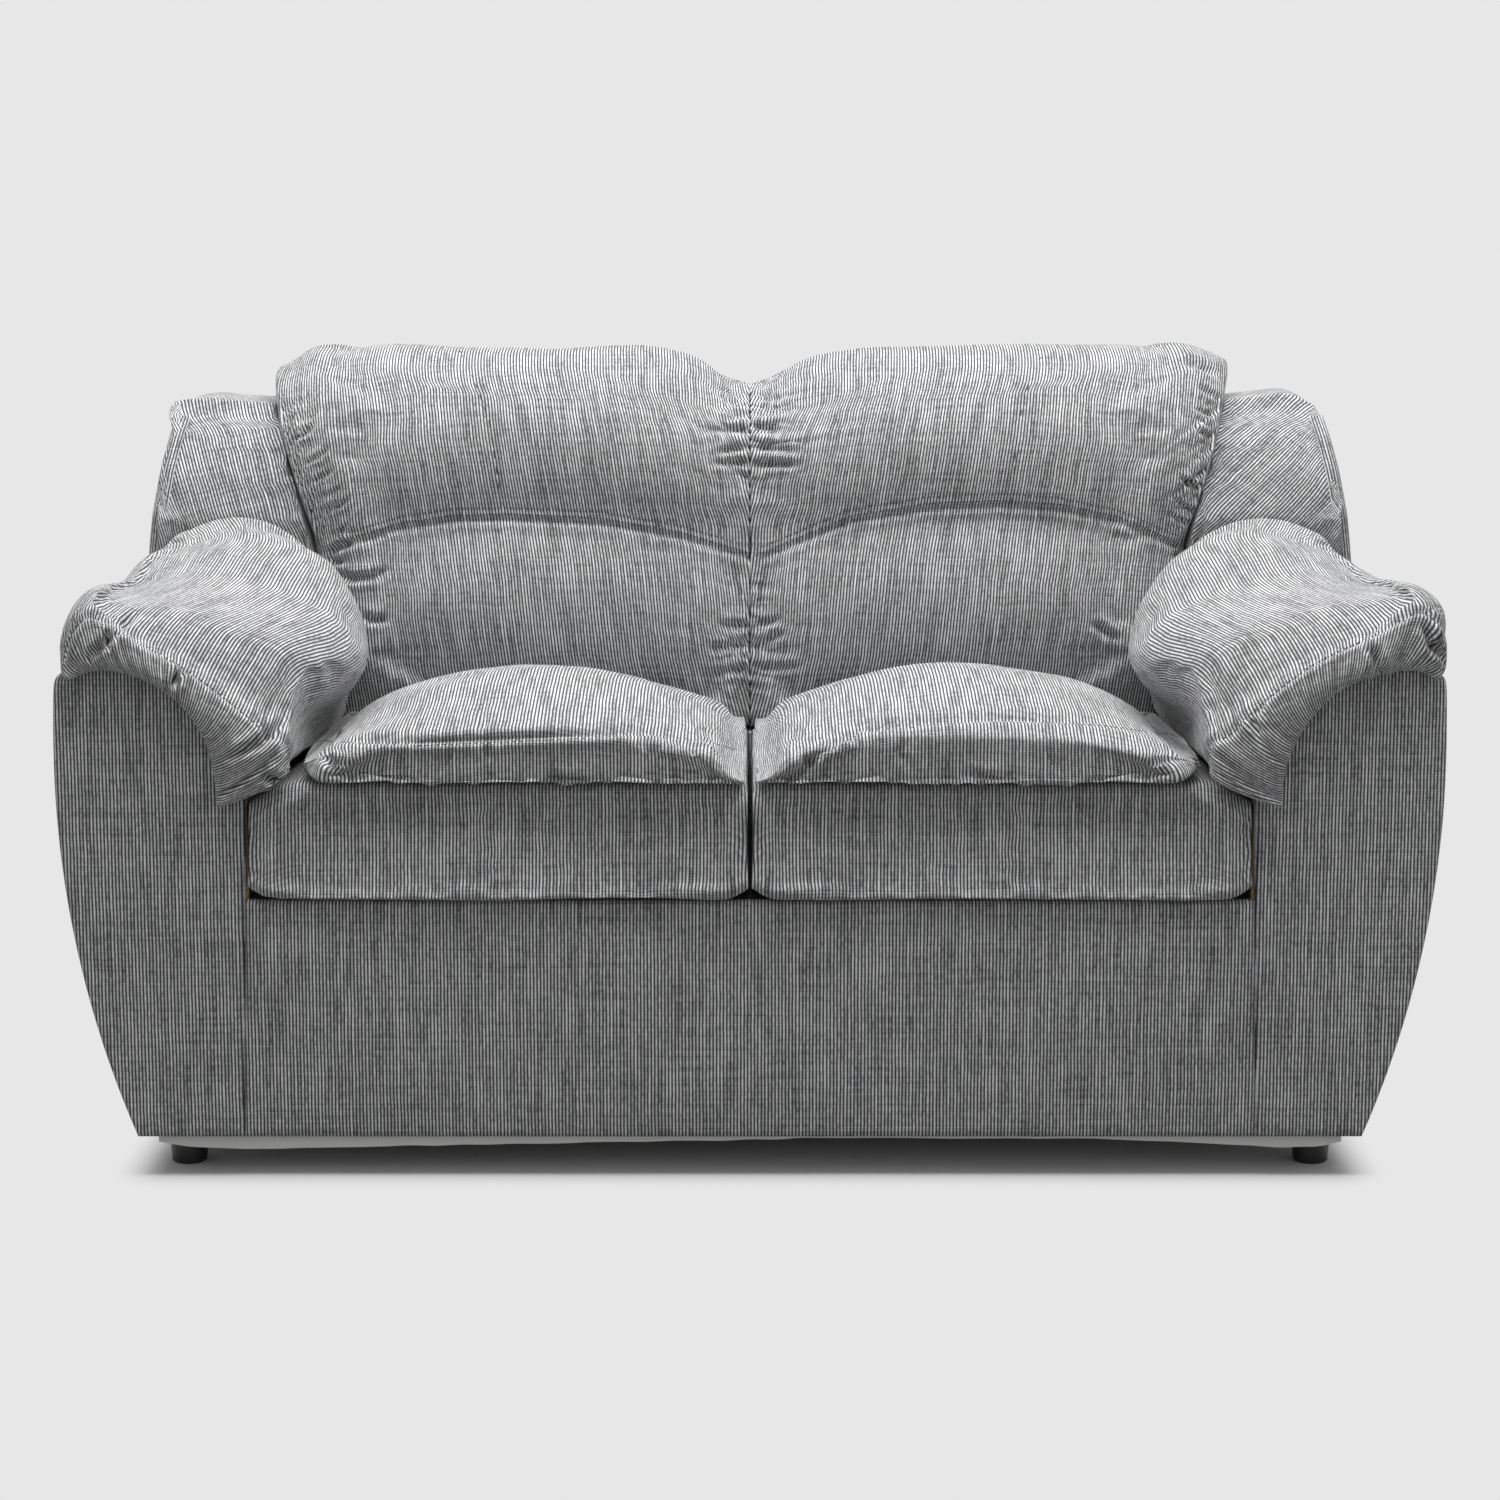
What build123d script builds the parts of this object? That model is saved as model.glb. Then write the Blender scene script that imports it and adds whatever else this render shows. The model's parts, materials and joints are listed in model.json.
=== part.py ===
from build123d import *
import os
from math import cos, radians, sin, sqrt, tan

os.makedirs("parts", exist_ok=True)

# A two-seater sofa: a board frame with springs, two bowed arms with a pillow over each,
# two stuffed back cushions, and two loose seat cushions with a pillow top.
# Millimetres. The origin is on the floor under the middle of the sofa, +Z up, +X to the
# right of someone who stands in front of it, and the seat faces -Y.

# Outer size
sofa_width = 1560.0
sofa_depth = 900.0
bow_height = 475.0          # height at which the bowed arms are widest
bow_in_at_floor = 83.0      # how far each side has come in at the lower edge of the covers
bow_in_at_top = 40.0        # how far each side has come in at the top of the wings

# Heights above the floor
foot_height = 50.0
cover_drop = 5.0            # the covers end this far below the frame
base_height = 250.0         # height of the base boards
back_frame_top = 860.0
wing_top = 850.0
back_cushion_top = 943.0
arm_inner_top = 490.0       # top of the arm frame at its inner edge
arm_middle_top = 584.0
arm_middle_share = 0.44     # place of that height across the arm
arm_outer_top = 617.0
arm_side_top = 594.0        # top of the side covers along the arms

# Boards and covers
board = 18.0
bent_board = 9.0
hardboard = 4.0
front_cover_thickness = 12.0
side_cover_thickness = 12.0
apron_thickness = 10.0
back_cover_thickness = 5.0
wing_former_thickness = 15.0
fit_gap = 0.3               # running gap between pieces that touch softly
panel_set_back = 18.0       # the front panels lie this far behind the arm pillows
rear_former_set_back = 278.0  # from the rear of the sofa to the arms' rear formers
seat_rail_height = 80.0
corner_block_leg = 70.0
corner_block_height = 120.0

# Seat bay
arm_width = 214.0           # from the seat bay to the widest point of the side
seam_spread = 11.0          # the seams beside the apron run this much wider at the floor
back_frame_set_back = 245.0  # from the rear of the sofa to the back frame's foot
back_rake = 13.0            # degrees
rear_rake = 4.0             # degrees
lower_rail_height = 70.0
lower_rail_lift = 20.0

# Springs
springs_per_seat = 5
spring_wire = 4.0
spring_bars = 20
spring_half_width = 20.0
clip_width = 18.0
clip_wall = 2.0
strap_width = 60.0
strap_thickness = 1.5
strap_gap = 0.1
straps_per_side = 3
strap_start_share = 0.75     # place of the first strap across the back, in strap steps
deck_thickness = 14.8
roll_depth = 35.0
roll_nose_share = 0.13      # how far the roll's rounded nose bends in
roll_fall_share = 0.25      # and how far it falls there

# Seat cushions
depth_behind_seat = 360.0   # what the back takes of the sofa's depth
box_height = 135.0
cushion_gap = 3.0           # to the arm, and to the middle line between the cushions
box_front_set_back = 2.0
box_corner = 22.0
box_shoulder_width = 63.0   # the box rounds down over this width beside the arm
box_shoulder_drop = 27.0
box_shoulder_arc_share = 1.35  # radius of that shoulder as a share of its width
box_edge = 12.0
ticking = 3.0               # thickness of the box cover with its lining
zip_length = 400.0
zip_gap = 6.0
pillow_inset = 66.0         # the pillow top ends this far from the side of the box
pillow_side = 42.0
pillow_crown = 113.0
pillow_side_bulge = 4.0
pillow_crown_share = 0.49   # place of the crown across the pillow
pillow_shoulder_share = 5.0  # how far its inner shoulder lies from the middle, in gaps
pillow_draw_share = 0.5     # how much of the bulge the sides are drawn in by
pillow_rear_set_back = 17.0

# Back cushions
back_cushion_gap = 3.0      # to the middle line between the cushions
back_cushion_lean = 19.0    # degrees that the outer end leans outwards
back_cushion_set_in = 97.0  # from the side of the seat bay to the cushion's foot
behind_seat_gap = 5.0
cushion_tuck = 20.0         # how far its foot goes down behind the seat cushion
bulge_start_rise = 33.0
lower_bulge_depth = 37.0
channel_height = 712.0
channel_fall = 37.0         # the sewn channel is this much lower at both ends
end_draw = 50.0             # how far the front is drawn back at both ends
dart_dip = 4.0
top_roll_thickness = 46.0             # thickness of the roll behind the top edge
roll_gap = 2.4              # between that roll and the top rail
head_share = 0.38           # height of the head bulge between channel and top
shoulder_share = 0.84       # and of the point where the front turns over
head_bulge_share = 0.3      # how far the head bulges, in lower bulges
shoulder_set_share = 1.5    # how far the top edge lies back, in bulges and rolls
rear_set_share = 1.1        # how far the roll starts from the rear, in rolls
roll_drop_share = 0.8       # how far the roll falls towards the rear
roll_middle_share = 0.6
rear_edge_share = 0.1
low_draw_share = 0.3        # how much of the drawing in at the ends the foot takes
channel_draw_share = 0.65
head_draw_share = 0.9
shoulder_draw_share = 0.4
top_draw_share = 0.8
rear_draw_share = 0.2

# Arm pillows and wings
pad_rear_set_back = 340.0   # from the rear of the sofa to the arm pillow
pad_top = 712.0
pad_overhang = 100.0        # how far the pillow leans in over the seat
pad_gap = 4.0               # to the seat cushions that slide past it
pad_edge_width = 32.0
pad_root = 30.0             # how far it is drawn into the arm before the arm is cut away
pad_step_share = 1.02       # height of its low inner face beside the seat's pillow
pad_edge_share = 0.15       # heights of its outer edge and side above the side cover
pad_side_share = 0.08
pad_crest_share = 0.2       # how far the crest moves in where it is high
wing_bottom = 622.0
wing_crown = 12.0
wing_gap = 0.9              # to the back cushion
wing_cap_share = 0.9        # the wing spreads over its boards from this height up
wing_lean = 125.0           # how far the front of a wing leans back up to its top

# Feet and fasteners
foot_set_in = 129.0         # from the widest point of the side to a foot's middle
front_foot_set_back = 90.0
rear_foot_set_back = 120.0
foot_radius = 26.0
foot_sole_radius = 20.0
foot_step = 24.0            # height of the wide upper part
foot_edge = 2.0
screw_radius = 3.0
screw_head_radius = 6.5
screw_head_height = 4.0
screw_reach = 14.0          # into the board above
screw_recess_radius = 8.0
bolt_radius = 4.0
bolt_head_radius = 9.0
bolt_head_height = 4.0
bolt_tail = 6.0
nut_radius = 8.0
nut_sides = 6
nut_height = 6.5
bolt_height = 200.0
bolt_gap = 0.1
bolt_shares = (0.203, 0.608, 0.946)  # of the way from the front board to the rear former
dust_cover_thickness = 1.2
dust_cover_inset = 6.0
dust_sag = 11.0
dust_middle_sag = 4.0
dust_bay_share = 0.333      # half the width of its middle bay, of half its whole width

# Places that follow from the sizes above
front_y = -sofa_depth / 2
rear_y = sofa_depth / 2
seat_bay_width = sofa_width - 2 * arm_width
seat_depth = sofa_depth - depth_behind_seat
rear_former_y = rear_y - rear_former_set_back
back_frame_y = rear_y - back_frame_set_back
pad_rear_y = rear_y - pad_rear_set_back
foot_x = sofa_width / 2 - foot_set_in
front_foot_y = front_y + front_foot_set_back
rear_foot_y = rear_y - rear_foot_set_back
panel_front = front_y + panel_set_back
frame_front = panel_front + front_cover_thickness
bolt_places = [frame_front + share * (rear_former_y - frame_front) for share in bolt_shares]
cover_bottom = foot_height - cover_drop
base_top = foot_height + base_height
bay_half = seat_bay_width / 2
back_cushion_bottom_width = bay_half - back_cushion_set_in
side_board_outer = bay_half + board
skin = side_cover_thickness + fit_gap + hardboard + fit_gap
wire_top = base_top + strap_gap + spring_wire
clip_top = wire_top + clip_wall
deck_bottom = clip_top + fit_gap
deck_top = deck_bottom + deck_thickness
box_bottom = deck_top + fit_gap
box_top = box_bottom + box_height
box_side = bay_half - cushion_gap
box_front = front_y + box_front_set_back
box_rear = box_front + seat_depth
pillow_bottom = box_top + fit_gap
pillow_outer = bay_half - pillow_inset - pad_gap
pillow_rear = box_rear - pillow_rear_set_back
back_front = box_rear + behind_seat_gap
webbing_depth = 2 * strap_thickness + 2 * strap_gap + fit_gap
cushion_bottom = box_top - cushion_tuck
wing_height = wing_top + wing_crown - wing_bottom
wing_cap_bottom = wing_bottom + wing_cap_share * wing_height
wing_former_x = side_board_outer + board + fit_gap
rail_front = back_frame_y - board


def front_plane(z):
    """Y of the raked front of the back frame at height z."""
    return back_frame_y + (z - base_top) * tan(radians(back_rake))


def rear_plane(z):
    """Y of the raked inner face of the outside back cover at height z."""
    return rear_y - back_cover_thickness - (back_frame_top - z) * tan(radians(rear_rake))


def bow_x(z):
    """Half the sofa's width at height z, on the bowed outer faces."""
    if z < bow_height:
        rise, come_in = bow_height - cover_bottom, bow_in_at_floor
    else:
        rise, come_in = wing_top - bow_height, bow_in_at_top
    radius = (rise**2 + come_in**2) / (2 * come_in)
    return sofa_width / 2 - radius + sqrt(radius**2 - (z - bow_height) ** 2)


def across(y):
    """The upright plane across the sofa at y, drawn as (X, Z)."""
    return Plane.XZ.offset(-y)


def along(x):
    """The upright plane from front to rear at x, drawn as (Y, Z)."""
    return Plane.YZ.offset(x)


def bow_line(low, high, inset):
    """Draw the bowed side from low up to high, moved in by inset."""
    turn = min(max(bow_height, low), high)
    for start, end in ((low, turn), (turn, high)):
        if end > start:
            middle = (start + end) / 2
            ends = [(bow_x(z) - inset, z) for z in (start, middle, end)]
            ThreePointArc(*ends)


def arm_curve(drop):
    """The three points of the arched top of an arm frame, lowered by drop."""
    return (
        (arm_outer_x, arm_outer_top - drop),
        (arm_middle_x, arm_middle_top - drop),
        (bay_half, arm_inner_top - drop),
    )


arm_outer_x = bow_x(arm_outer_top) - skin
arm_middle_x = bay_half + arm_middle_share * (arm_outer_x - bay_half)


def save(builder, name):
    """Label a finished piece and write it."""
    builder.part.label = name
    export_step(builder.part, f"parts/{name}.step")


def save_pair(right, name):
    """Write the right-hand piece and its mirror image on the left."""
    save(right, f"{name}_right")
    with BuildPart() as left:
        mirror(right.part, about=Plane.YZ)
    save(left, f"{name}_left")


# Base frame
with BuildPart() as base_front_board:
    with BuildSketch(across(frame_front)):
        with Locations((0, foot_height + base_height / 2)):
            Rectangle(seat_bay_width, base_height)
    extrude(amount=-board)
save(base_front_board, "base_front_board")

rear_board_outer = rear_plane(foot_height) - fit_gap
with BuildPart() as base_rear_board:
    with BuildSketch(across(rear_board_outer - board)):
        with Locations((0, foot_height + base_height / 2)):
            Rectangle(seat_bay_width, base_height)
    extrude(amount=-board)
save(base_rear_board, "base_rear_board")

side_start = frame_front + board
with BuildPart() as base_side_board:
    with BuildSketch(along(bay_half)):
        with Locations(((side_start + rear_board_outer) / 2, foot_height + base_height / 2)):
            Rectangle(rear_board_outer - side_start, base_height)
        with Locations(*[(y, bolt_height) for y in bolt_places]):
            Circle(bolt_radius + bolt_gap, mode=Mode.SUBTRACT)
    extrude(amount=board)
save_pair(base_side_board, "base_side_board")

with BuildPart() as seat_rear_rail:
    with BuildSketch(across(rail_front)):
        with Locations((0, base_top - seat_rail_height / 2)):
            Rectangle(seat_bay_width, seat_rail_height)
    extrude(amount=-board)
save(seat_rear_rail, "seat_rear_rail")

with BuildPart() as base_centre_board:
    with BuildSketch(along(-board / 2)):
        with BuildLine():
            Polyline(
                (side_start, foot_height),
                (rear_board_outer - board, foot_height),
                (rear_board_outer - board, base_top),
                (rail_front + board, base_top),
                (rail_front + board, base_top - seat_rail_height),
                (rail_front, base_top - seat_rail_height),
                (rail_front, base_top),
                (side_start, base_top),
                close=True,
            )
        make_face()
    extrude(amount=board)
save(base_centre_board, "base_centre_board")

with BuildPart() as corner_blocks:
    for side in (-1, 1):
        for corner_y, inward in ((side_start, 1), (rear_board_outer - board, -1)):
            with BuildSketch(Plane.XY.offset(foot_height)):
                with BuildLine():
                    Polyline(
                        (side * bay_half, corner_y),
                        (side * bay_half, corner_y + inward * corner_block_leg),
                        (side * (bay_half - corner_block_leg), corner_y),
                        close=True,
                    )
                make_face()
            extrude(amount=corner_block_height)
save(corner_blocks, "corner_blocks")


# Arm frames
def former_outline(bottom):
    """The outline of a board that closes one end of an arm frame, from bottom up."""
    drop = bent_board + fit_gap
    top = arm_curve(drop)
    with BuildSketch() as outline:
        with BuildLine():
            Line((bay_half, bottom), (bow_x(bottom) - skin, bottom))
            bow_line(bottom, arm_side_top, skin)
            Polyline(
                (bow_x(arm_side_top) - skin, arm_side_top), (arm_outer_x, arm_side_top), top[0]
            )
            ThreePointArc(*top)
            Line(top[2], (bay_half, bottom))
        make_face()
    return outline.sketch


with BuildPart() as arm_front_former:
    with BuildSketch(across(frame_front)):
        add(former_outline(foot_height))
    extrude(amount=-board)
save_pair(arm_front_former, "arm_front_former")

with BuildPart() as arm_rear_former:
    with BuildSketch(across(rear_former_y)):
        add(former_outline(foot_height + board))
    extrude(amount=-board)
    with BuildSketch(across(rear_former_y)):
        with Locations((bay_half, foot_height)):
            Rectangle(board, base_height, align=(Align.MIN, Align.MIN))
    extrude(amount=-board, mode=Mode.SUBTRACT)
save_pair(arm_rear_former, "arm_rear_former")

inner_board_top = arm_inner_top - bent_board - fit_gap
with BuildPart() as arm_inner_board:
    with BuildSketch(along(side_board_outer)):
        with BuildLine():
            Polyline(
                (side_start, foot_height + board),
                (rear_former_y, foot_height + board),
                (rear_former_y, inner_board_top),
                (side_start, inner_board_top),
                close=True,
            )
        make_face()
        with Locations(*[(y, bolt_height) for y in bolt_places]):
            Circle(bolt_radius + bolt_gap, mode=Mode.SUBTRACT)
    extrude(amount=board)
save_pair(arm_inner_board, "arm_inner_board")

with BuildPart() as arm_bottom_board:
    outer_x = bow_x(foot_height) - skin
    with BuildSketch(Plane.XY.offset(foot_height)):
        with BuildLine():
            Polyline(
                (side_board_outer, side_start),
                (outer_x, side_start),
                (outer_x, rear_board_outer - wing_former_thickness),
                (wing_former_x, rear_board_outer - wing_former_thickness),
                (wing_former_x, rear_former_y),
                (side_board_outer, rear_former_y),
                close=True,
            )
        make_face()
        with Locations((foot_x, front_foot_y), (foot_x, rear_foot_y)):
            Circle(screw_radius + fit_gap, mode=Mode.SUBTRACT)
    extrude(amount=board)
save_pair(arm_bottom_board, "arm_bottom_board")

with BuildPart() as arm_top_board:
    with BuildSketch(across(frame_front)):
        upper = arm_curve(0)
        lower = arm_curve(bent_board)
        with BuildLine():
            ThreePointArc(*upper)
            Line(upper[2], lower[2])
            ThreePointArc(*lower)
            Line(lower[0], upper[0])
        make_face()
    extrude(amount=frame_front - rear_former_y - board)
save_pair(arm_top_board, "arm_top_board")

with BuildPart() as arm_inner_cover:
    with BuildSketch(along(bay_half)):
        with BuildLine():
            Polyline(
                (side_start, base_top),
                (rear_former_y, base_top),
                (rear_former_y, inner_board_top),
                (side_start, inner_board_top),
                close=True,
            )
        make_face()
    extrude(amount=board - fit_gap)
save_pair(arm_inner_cover, "arm_inner_cover")


# Sides, from the front panels round the bowed arms and up to the wings
wing_front_shares = ((0.0, 0.0), (0.39, 0.0), (0.62, 0.14), (0.8, 0.38), (0.93, 0.68), (1.0, 1.0))


def wing_front(z):
    """Y of the front of a wing at height z: upright low down, leaning back higher up."""
    share = (z - wing_bottom) / wing_height
    lean = wing_lean
    for (low, start), (high, end) in zip(wing_front_shares, wing_front_shares[1:]):
        if share <= high:
            return pad_rear_y + fit_gap + lean * (start + (end - start) * (share - low) / (high - low))
    return pad_rear_y + fit_gap + lean


def side_outline(margin, front, rear_in):
    """The side of the sofa from beside, as (Y, Z), drawn in by margin at its free edges."""
    top = wing_cap_bottom - fit_gap - margin
    points = [
        (front, cover_bottom + margin),
        (rear_plane(cover_bottom + margin) - rear_in, cover_bottom + margin),
        (rear_plane(top) - rear_in, top),
        (wing_front(top) + margin, top),
    ]
    for share, _ in reversed(wing_front_shares[1:-1]):
        height = wing_bottom + share * wing_height
        if height < top:
            points.append((wing_front(height) + margin, height))
    points.append((wing_front(wing_bottom) + margin, arm_side_top - margin))
    points.append((front, arm_side_top - margin))
    with BuildSketch() as outline:
        with BuildLine():
            Polyline(*points, close=True)
        make_face()
    return outline.sketch


def bowed_band(outer_inset, thickness, low, high):
    """A strip that follows the bowed side, cut through its thickness, as (X, Z)."""
    with BuildSketch() as band:
        with BuildLine():
            bow_line(low, high, outer_inset)
            Line((bow_x(high) - outer_inset, high), (bow_x(high) - outer_inset - thickness, high))
            bow_line(low, high, outer_inset + thickness)
            Line((bow_x(low) - outer_inset, low), (bow_x(low) - outer_inset - thickness, low))
        make_face()
    return band.sketch


with BuildPart() as side_board:
    inset = side_cover_thickness + fit_gap
    with BuildSketch(across(frame_front)):
        add(bowed_band(inset, hardboard, foot_height, wing_top))
    extrude(amount=-sofa_depth)
    with BuildSketch(along(0)):
        add(side_outline(cover_drop, frame_front, fit_gap))
    extrude(amount=sofa_width, mode=Mode.INTERSECT)
save_pair(side_board, "side_board")

with BuildPart() as side_cover:
    with BuildSketch(across(frame_front)):
        add(bowed_band(0, side_cover_thickness, cover_bottom, wing_top))
    extrude(amount=-sofa_depth)
    with BuildSketch(along(0)):
        add(side_outline(0, frame_front, -back_cover_thickness))
    extrude(amount=sofa_width, mode=Mode.INTERSECT)
save_pair(side_cover, "side_cover")

with BuildPart() as arm_front_cover:
    with BuildSketch(across(panel_front)):
        top = arm_curve(0)
        with BuildLine():
            foot_corner = (bow_x(cover_bottom), cover_bottom)
            Line((bay_half + seam_spread, cover_bottom), foot_corner)
            bow_line(cover_bottom, arm_side_top, 0)
            Polyline(
                (bow_x(arm_side_top), arm_side_top),
                (arm_outer_x, arm_side_top),
                top[0],
            )
            ThreePointArc(*top)
            Line(top[2], (bay_half + seam_spread, cover_bottom))
        make_face()
    extrude(amount=-(front_cover_thickness - fit_gap))
save_pair(arm_front_cover, "arm_front_cover")

with BuildPart() as apron_cover:
    seam_rise = arm_inner_top - cover_bottom
    apron_top = deck_top - fit_gap
    top_half = bay_half + seam_spread * (arm_inner_top - apron_top) / seam_rise - fit_gap
    foot_half = bay_half + seam_spread - fit_gap
    with BuildSketch(across(frame_front - apron_thickness)):
        with BuildLine():
            Polyline(
                (-foot_half, cover_bottom),
                (foot_half, cover_bottom),
                (top_half, apron_top),
                (-top_half, apron_top),
                close=True,
            )
        make_face()
    extrude(amount=-(apron_thickness - fit_gap))
save(apron_cover, "apron_cover")


# Back frame
post_top = back_frame_top - board
with BuildPart() as back_end_post:
    with BuildSketch(along(side_board_outer)):
        with BuildLine():
            Polyline(
                (rear_former_y + board, foot_height),
                (rear_plane(foot_height) - fit_gap, foot_height),
                (rear_plane(post_top) - fit_gap, post_top),
                (front_plane(post_top), post_top),
                (front_plane(base_top), base_top),
                (rear_former_y + board, base_top),
                close=True,
            )
        make_face()
    extrude(amount=board)
save_pair(back_end_post, "back_end_post")

with BuildPart() as back_centre_post:
    with BuildSketch(along(-board / 2)):
        with BuildLine():
            Polyline(
                (front_plane(base_top), base_top),
                (rear_plane(base_top) - fit_gap, base_top),
                (rear_plane(post_top) - fit_gap, post_top),
                (front_plane(post_top), post_top),
                close=True,
            )
        make_face()
    extrude(amount=board)
save(back_centre_post, "back_centre_post")

with BuildPart() as back_top_rail:
    rail_start = front_plane(back_frame_top)
    rail_end = rear_plane(post_top) - fit_gap
    with BuildSketch(Plane.XY.offset(post_top)):
        with Locations((0, (rail_start + rail_end) / 2)):
            Rectangle(2 * (side_board_outer + board), rail_end - rail_start)
    extrude(amount=board)
save(back_top_rail, "back_top_rail")

lower_rail_bottom = base_top + lower_rail_lift
lower_rail_top = lower_rail_bottom + lower_rail_height
with BuildPart() as back_lower_rails:
    for side in (-1, 1):
        with BuildSketch(along(side * board / 2)):
            with BuildLine():
                Polyline(
                    (front_plane(lower_rail_bottom), lower_rail_bottom),
                    (front_plane(lower_rail_bottom) + board, lower_rail_bottom),
                    (front_plane(lower_rail_top) + board, lower_rail_top),
                    (front_plane(lower_rail_top), lower_rail_top),
                    close=True,
                )
            make_face()
        extrude(amount=side * (side_board_outer - board / 2))
save(back_lower_rails, "back_lower_rails")

with BuildPart() as wing_former:
    with BuildSketch(across(rear_former_y)):
        with BuildLine():
            former_low = foot_height
            former_high = wing_cap_bottom - cover_drop
            Line((wing_former_x, former_low), (bow_x(former_low) - skin, former_low))
            bow_line(former_low, former_high, skin)
            Line((bow_x(former_high) - skin, former_high), (wing_former_x, former_high))
            Line((wing_former_x, former_high), (wing_former_x, former_low))
        make_face()
    extrude(amount=-sofa_depth)
    with BuildSketch(along(0)):
        with BuildLine():
            Polyline(
                (rear_plane(0) - fit_gap - wing_former_thickness, 0),
                (rear_plane(0) - fit_gap, 0),
                (rear_plane(sofa_depth) - fit_gap, sofa_depth),
                (rear_plane(sofa_depth) - fit_gap - wing_former_thickness, sofa_depth),
                close=True,
            )
        make_face()
    extrude(amount=sofa_width, mode=Mode.INTERSECT)
save_pair(wing_former, "wing_former")

lean_back = radians(back_rake)
raked_front = Plane(
    origin=(0, front_plane(lower_rail_bottom), lower_rail_bottom),
    x_dir=(1, 0, 0),
    z_dir=(0, -cos(lean_back), sin(lean_back)),
)
strap_length = (back_frame_top - lower_rail_bottom) / cos(lean_back)
bay_between_posts = side_board_outer - board / 2
with BuildPart() as back_webbing:
    for side in (-1, 1):
        with BuildSketch(raked_front.offset(strap_gap)):
            for number in range(straps_per_side):
                strap_x = board / 2 + bay_between_posts * (number + 0.5) / straps_per_side
                with Locations((side * strap_x, strap_length / 2)):
                    Rectangle(strap_width, strap_length)
        extrude(amount=strap_thickness)
        with BuildSketch(raked_front.offset(2 * strap_gap + strap_thickness)):
            for number in range(straps_per_side):
                strap_y = strap_length * (number + strap_start_share) / straps_per_side
                with Locations((side * side_board_outer / 2, strap_y)):
                    Rectangle(side_board_outer - board, strap_width)
        extrude(amount=strap_thickness)
save(back_webbing, "back_webbing")

with BuildPart() as outside_back_cover:
    inset = side_cover_thickness + fit_gap
    with BuildSketch(across(rear_former_y)):
        with BuildLine():
            Line((0, cover_bottom), (bow_x(cover_bottom) - inset, cover_bottom))
            bow_line(cover_bottom, wing_cap_bottom, inset)
            Polyline(
                (bow_x(wing_cap_bottom) - inset, wing_cap_bottom),
                (side_board_outer + board, back_frame_top),
                (0, back_frame_top),
                (0, cover_bottom),
            )
        make_face()
        mirror(about=Plane.YZ)
    extrude(amount=-sofa_depth)
    with BuildSketch(along(-sofa_width)):
        with BuildLine():
            Polyline(
                (rear_plane(0), 0),
                (rear_plane(0) + back_cover_thickness, 0),
                (rear_plane(sofa_depth) + back_cover_thickness, sofa_depth),
                (rear_plane(sofa_depth), sofa_depth),
                close=True,
            )
        make_face()
    extrude(amount=2 * sofa_width, mode=Mode.INTERSECT)
save(outside_back_cover, "outside_back_cover")


# Springs and deck
front_bar_y = frame_front + board / 2
rear_bar_y = rail_front + board / 2
bar_pitch = (rear_bar_y - front_bar_y) / (spring_bars - 1)
with BuildPart() as one_spring:
    with BuildLine(Plane.XY.offset(wire_top - spring_wire / 2)) as spring_path:
        for number in range(spring_bars):
            side = 1 if number % 2 == 0 else -1
            bar_y = front_bar_y + number * bar_pitch
            bar_end = side * spring_half_width
            Line((-bar_end, bar_y), (bar_end, bar_y))
            if number < spring_bars - 1:
                turn_middle = (bar_end + side * bar_pitch / 2, bar_y + bar_pitch / 2)
                ThreePointArc((bar_end, bar_y), turn_middle, (bar_end, bar_y + bar_pitch))
    with BuildSketch(Plane(spring_path.wire() @ 0, z_dir=spring_path.wire() % 0)):
        Circle(spring_wire / 2)
    sweep(path=spring_path.wire())

spring_places = []
for number in range(springs_per_seat):
    spring_x = (number + 0.5) * bay_half / springs_per_seat
    spring_places += [-spring_x, spring_x]
with BuildPart() as seat_springs:
    with Locations(*[(x, 0, 0) for x in spring_places]):
        add(one_spring.part)
save(seat_springs, "seat_springs")

with BuildPart() as spring_clips:
    for spring_x in spring_places:
        for bar_y in (front_bar_y, rear_bar_y):
            with BuildSketch(along(spring_x - clip_width / 2)):
                clip_depth = spring_wire + 2 * strap_gap
                with Locations((bar_y, base_top)):
                    outer = (clip_depth + 2 * clip_wall, clip_top - base_top)
                    Rectangle(*outer, align=(Align.CENTER, Align.MIN))
                    inner = (clip_depth, wire_top + strap_gap - base_top)
                    Rectangle(*inner, align=(Align.CENTER, Align.MIN), mode=Mode.SUBTRACT)
            extrude(amount=clip_width)
save(spring_clips, "spring_clips")

with BuildPart() as seat_deck_pad:
    deck_front = frame_front + roll_depth + fit_gap
    with BuildSketch(Plane.XY.offset(deck_bottom)):
        with Locations((0, (deck_front + rail_front + board) / 2)):
            Rectangle(2 * (bay_half - fit_gap), rail_front + board - deck_front)
    extrude(amount=deck_thickness)
save(seat_deck_pad, "seat_deck_pad")

with BuildPart() as front_edge_roll:
    with BuildSketch(along(-bay_half + fit_gap)):
        with BuildLine():
            Polyline(
                (frame_front, deck_bottom),
                (frame_front + roll_depth, deck_bottom),
                (frame_front + roll_depth, deck_top),
            )
            Line((frame_front + roll_depth, deck_top), (frame_front + roll_depth / 2, deck_top))
            ThreePointArc(
                (frame_front + roll_depth / 2, deck_top),
                (frame_front + roll_nose_share * roll_depth, deck_top - roll_fall_share * deck_thickness),
                (frame_front, deck_bottom),
            )
        make_face()
    extrude(amount=2 * (bay_half - fit_gap))
save(front_edge_roll, "front_edge_roll")

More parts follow.
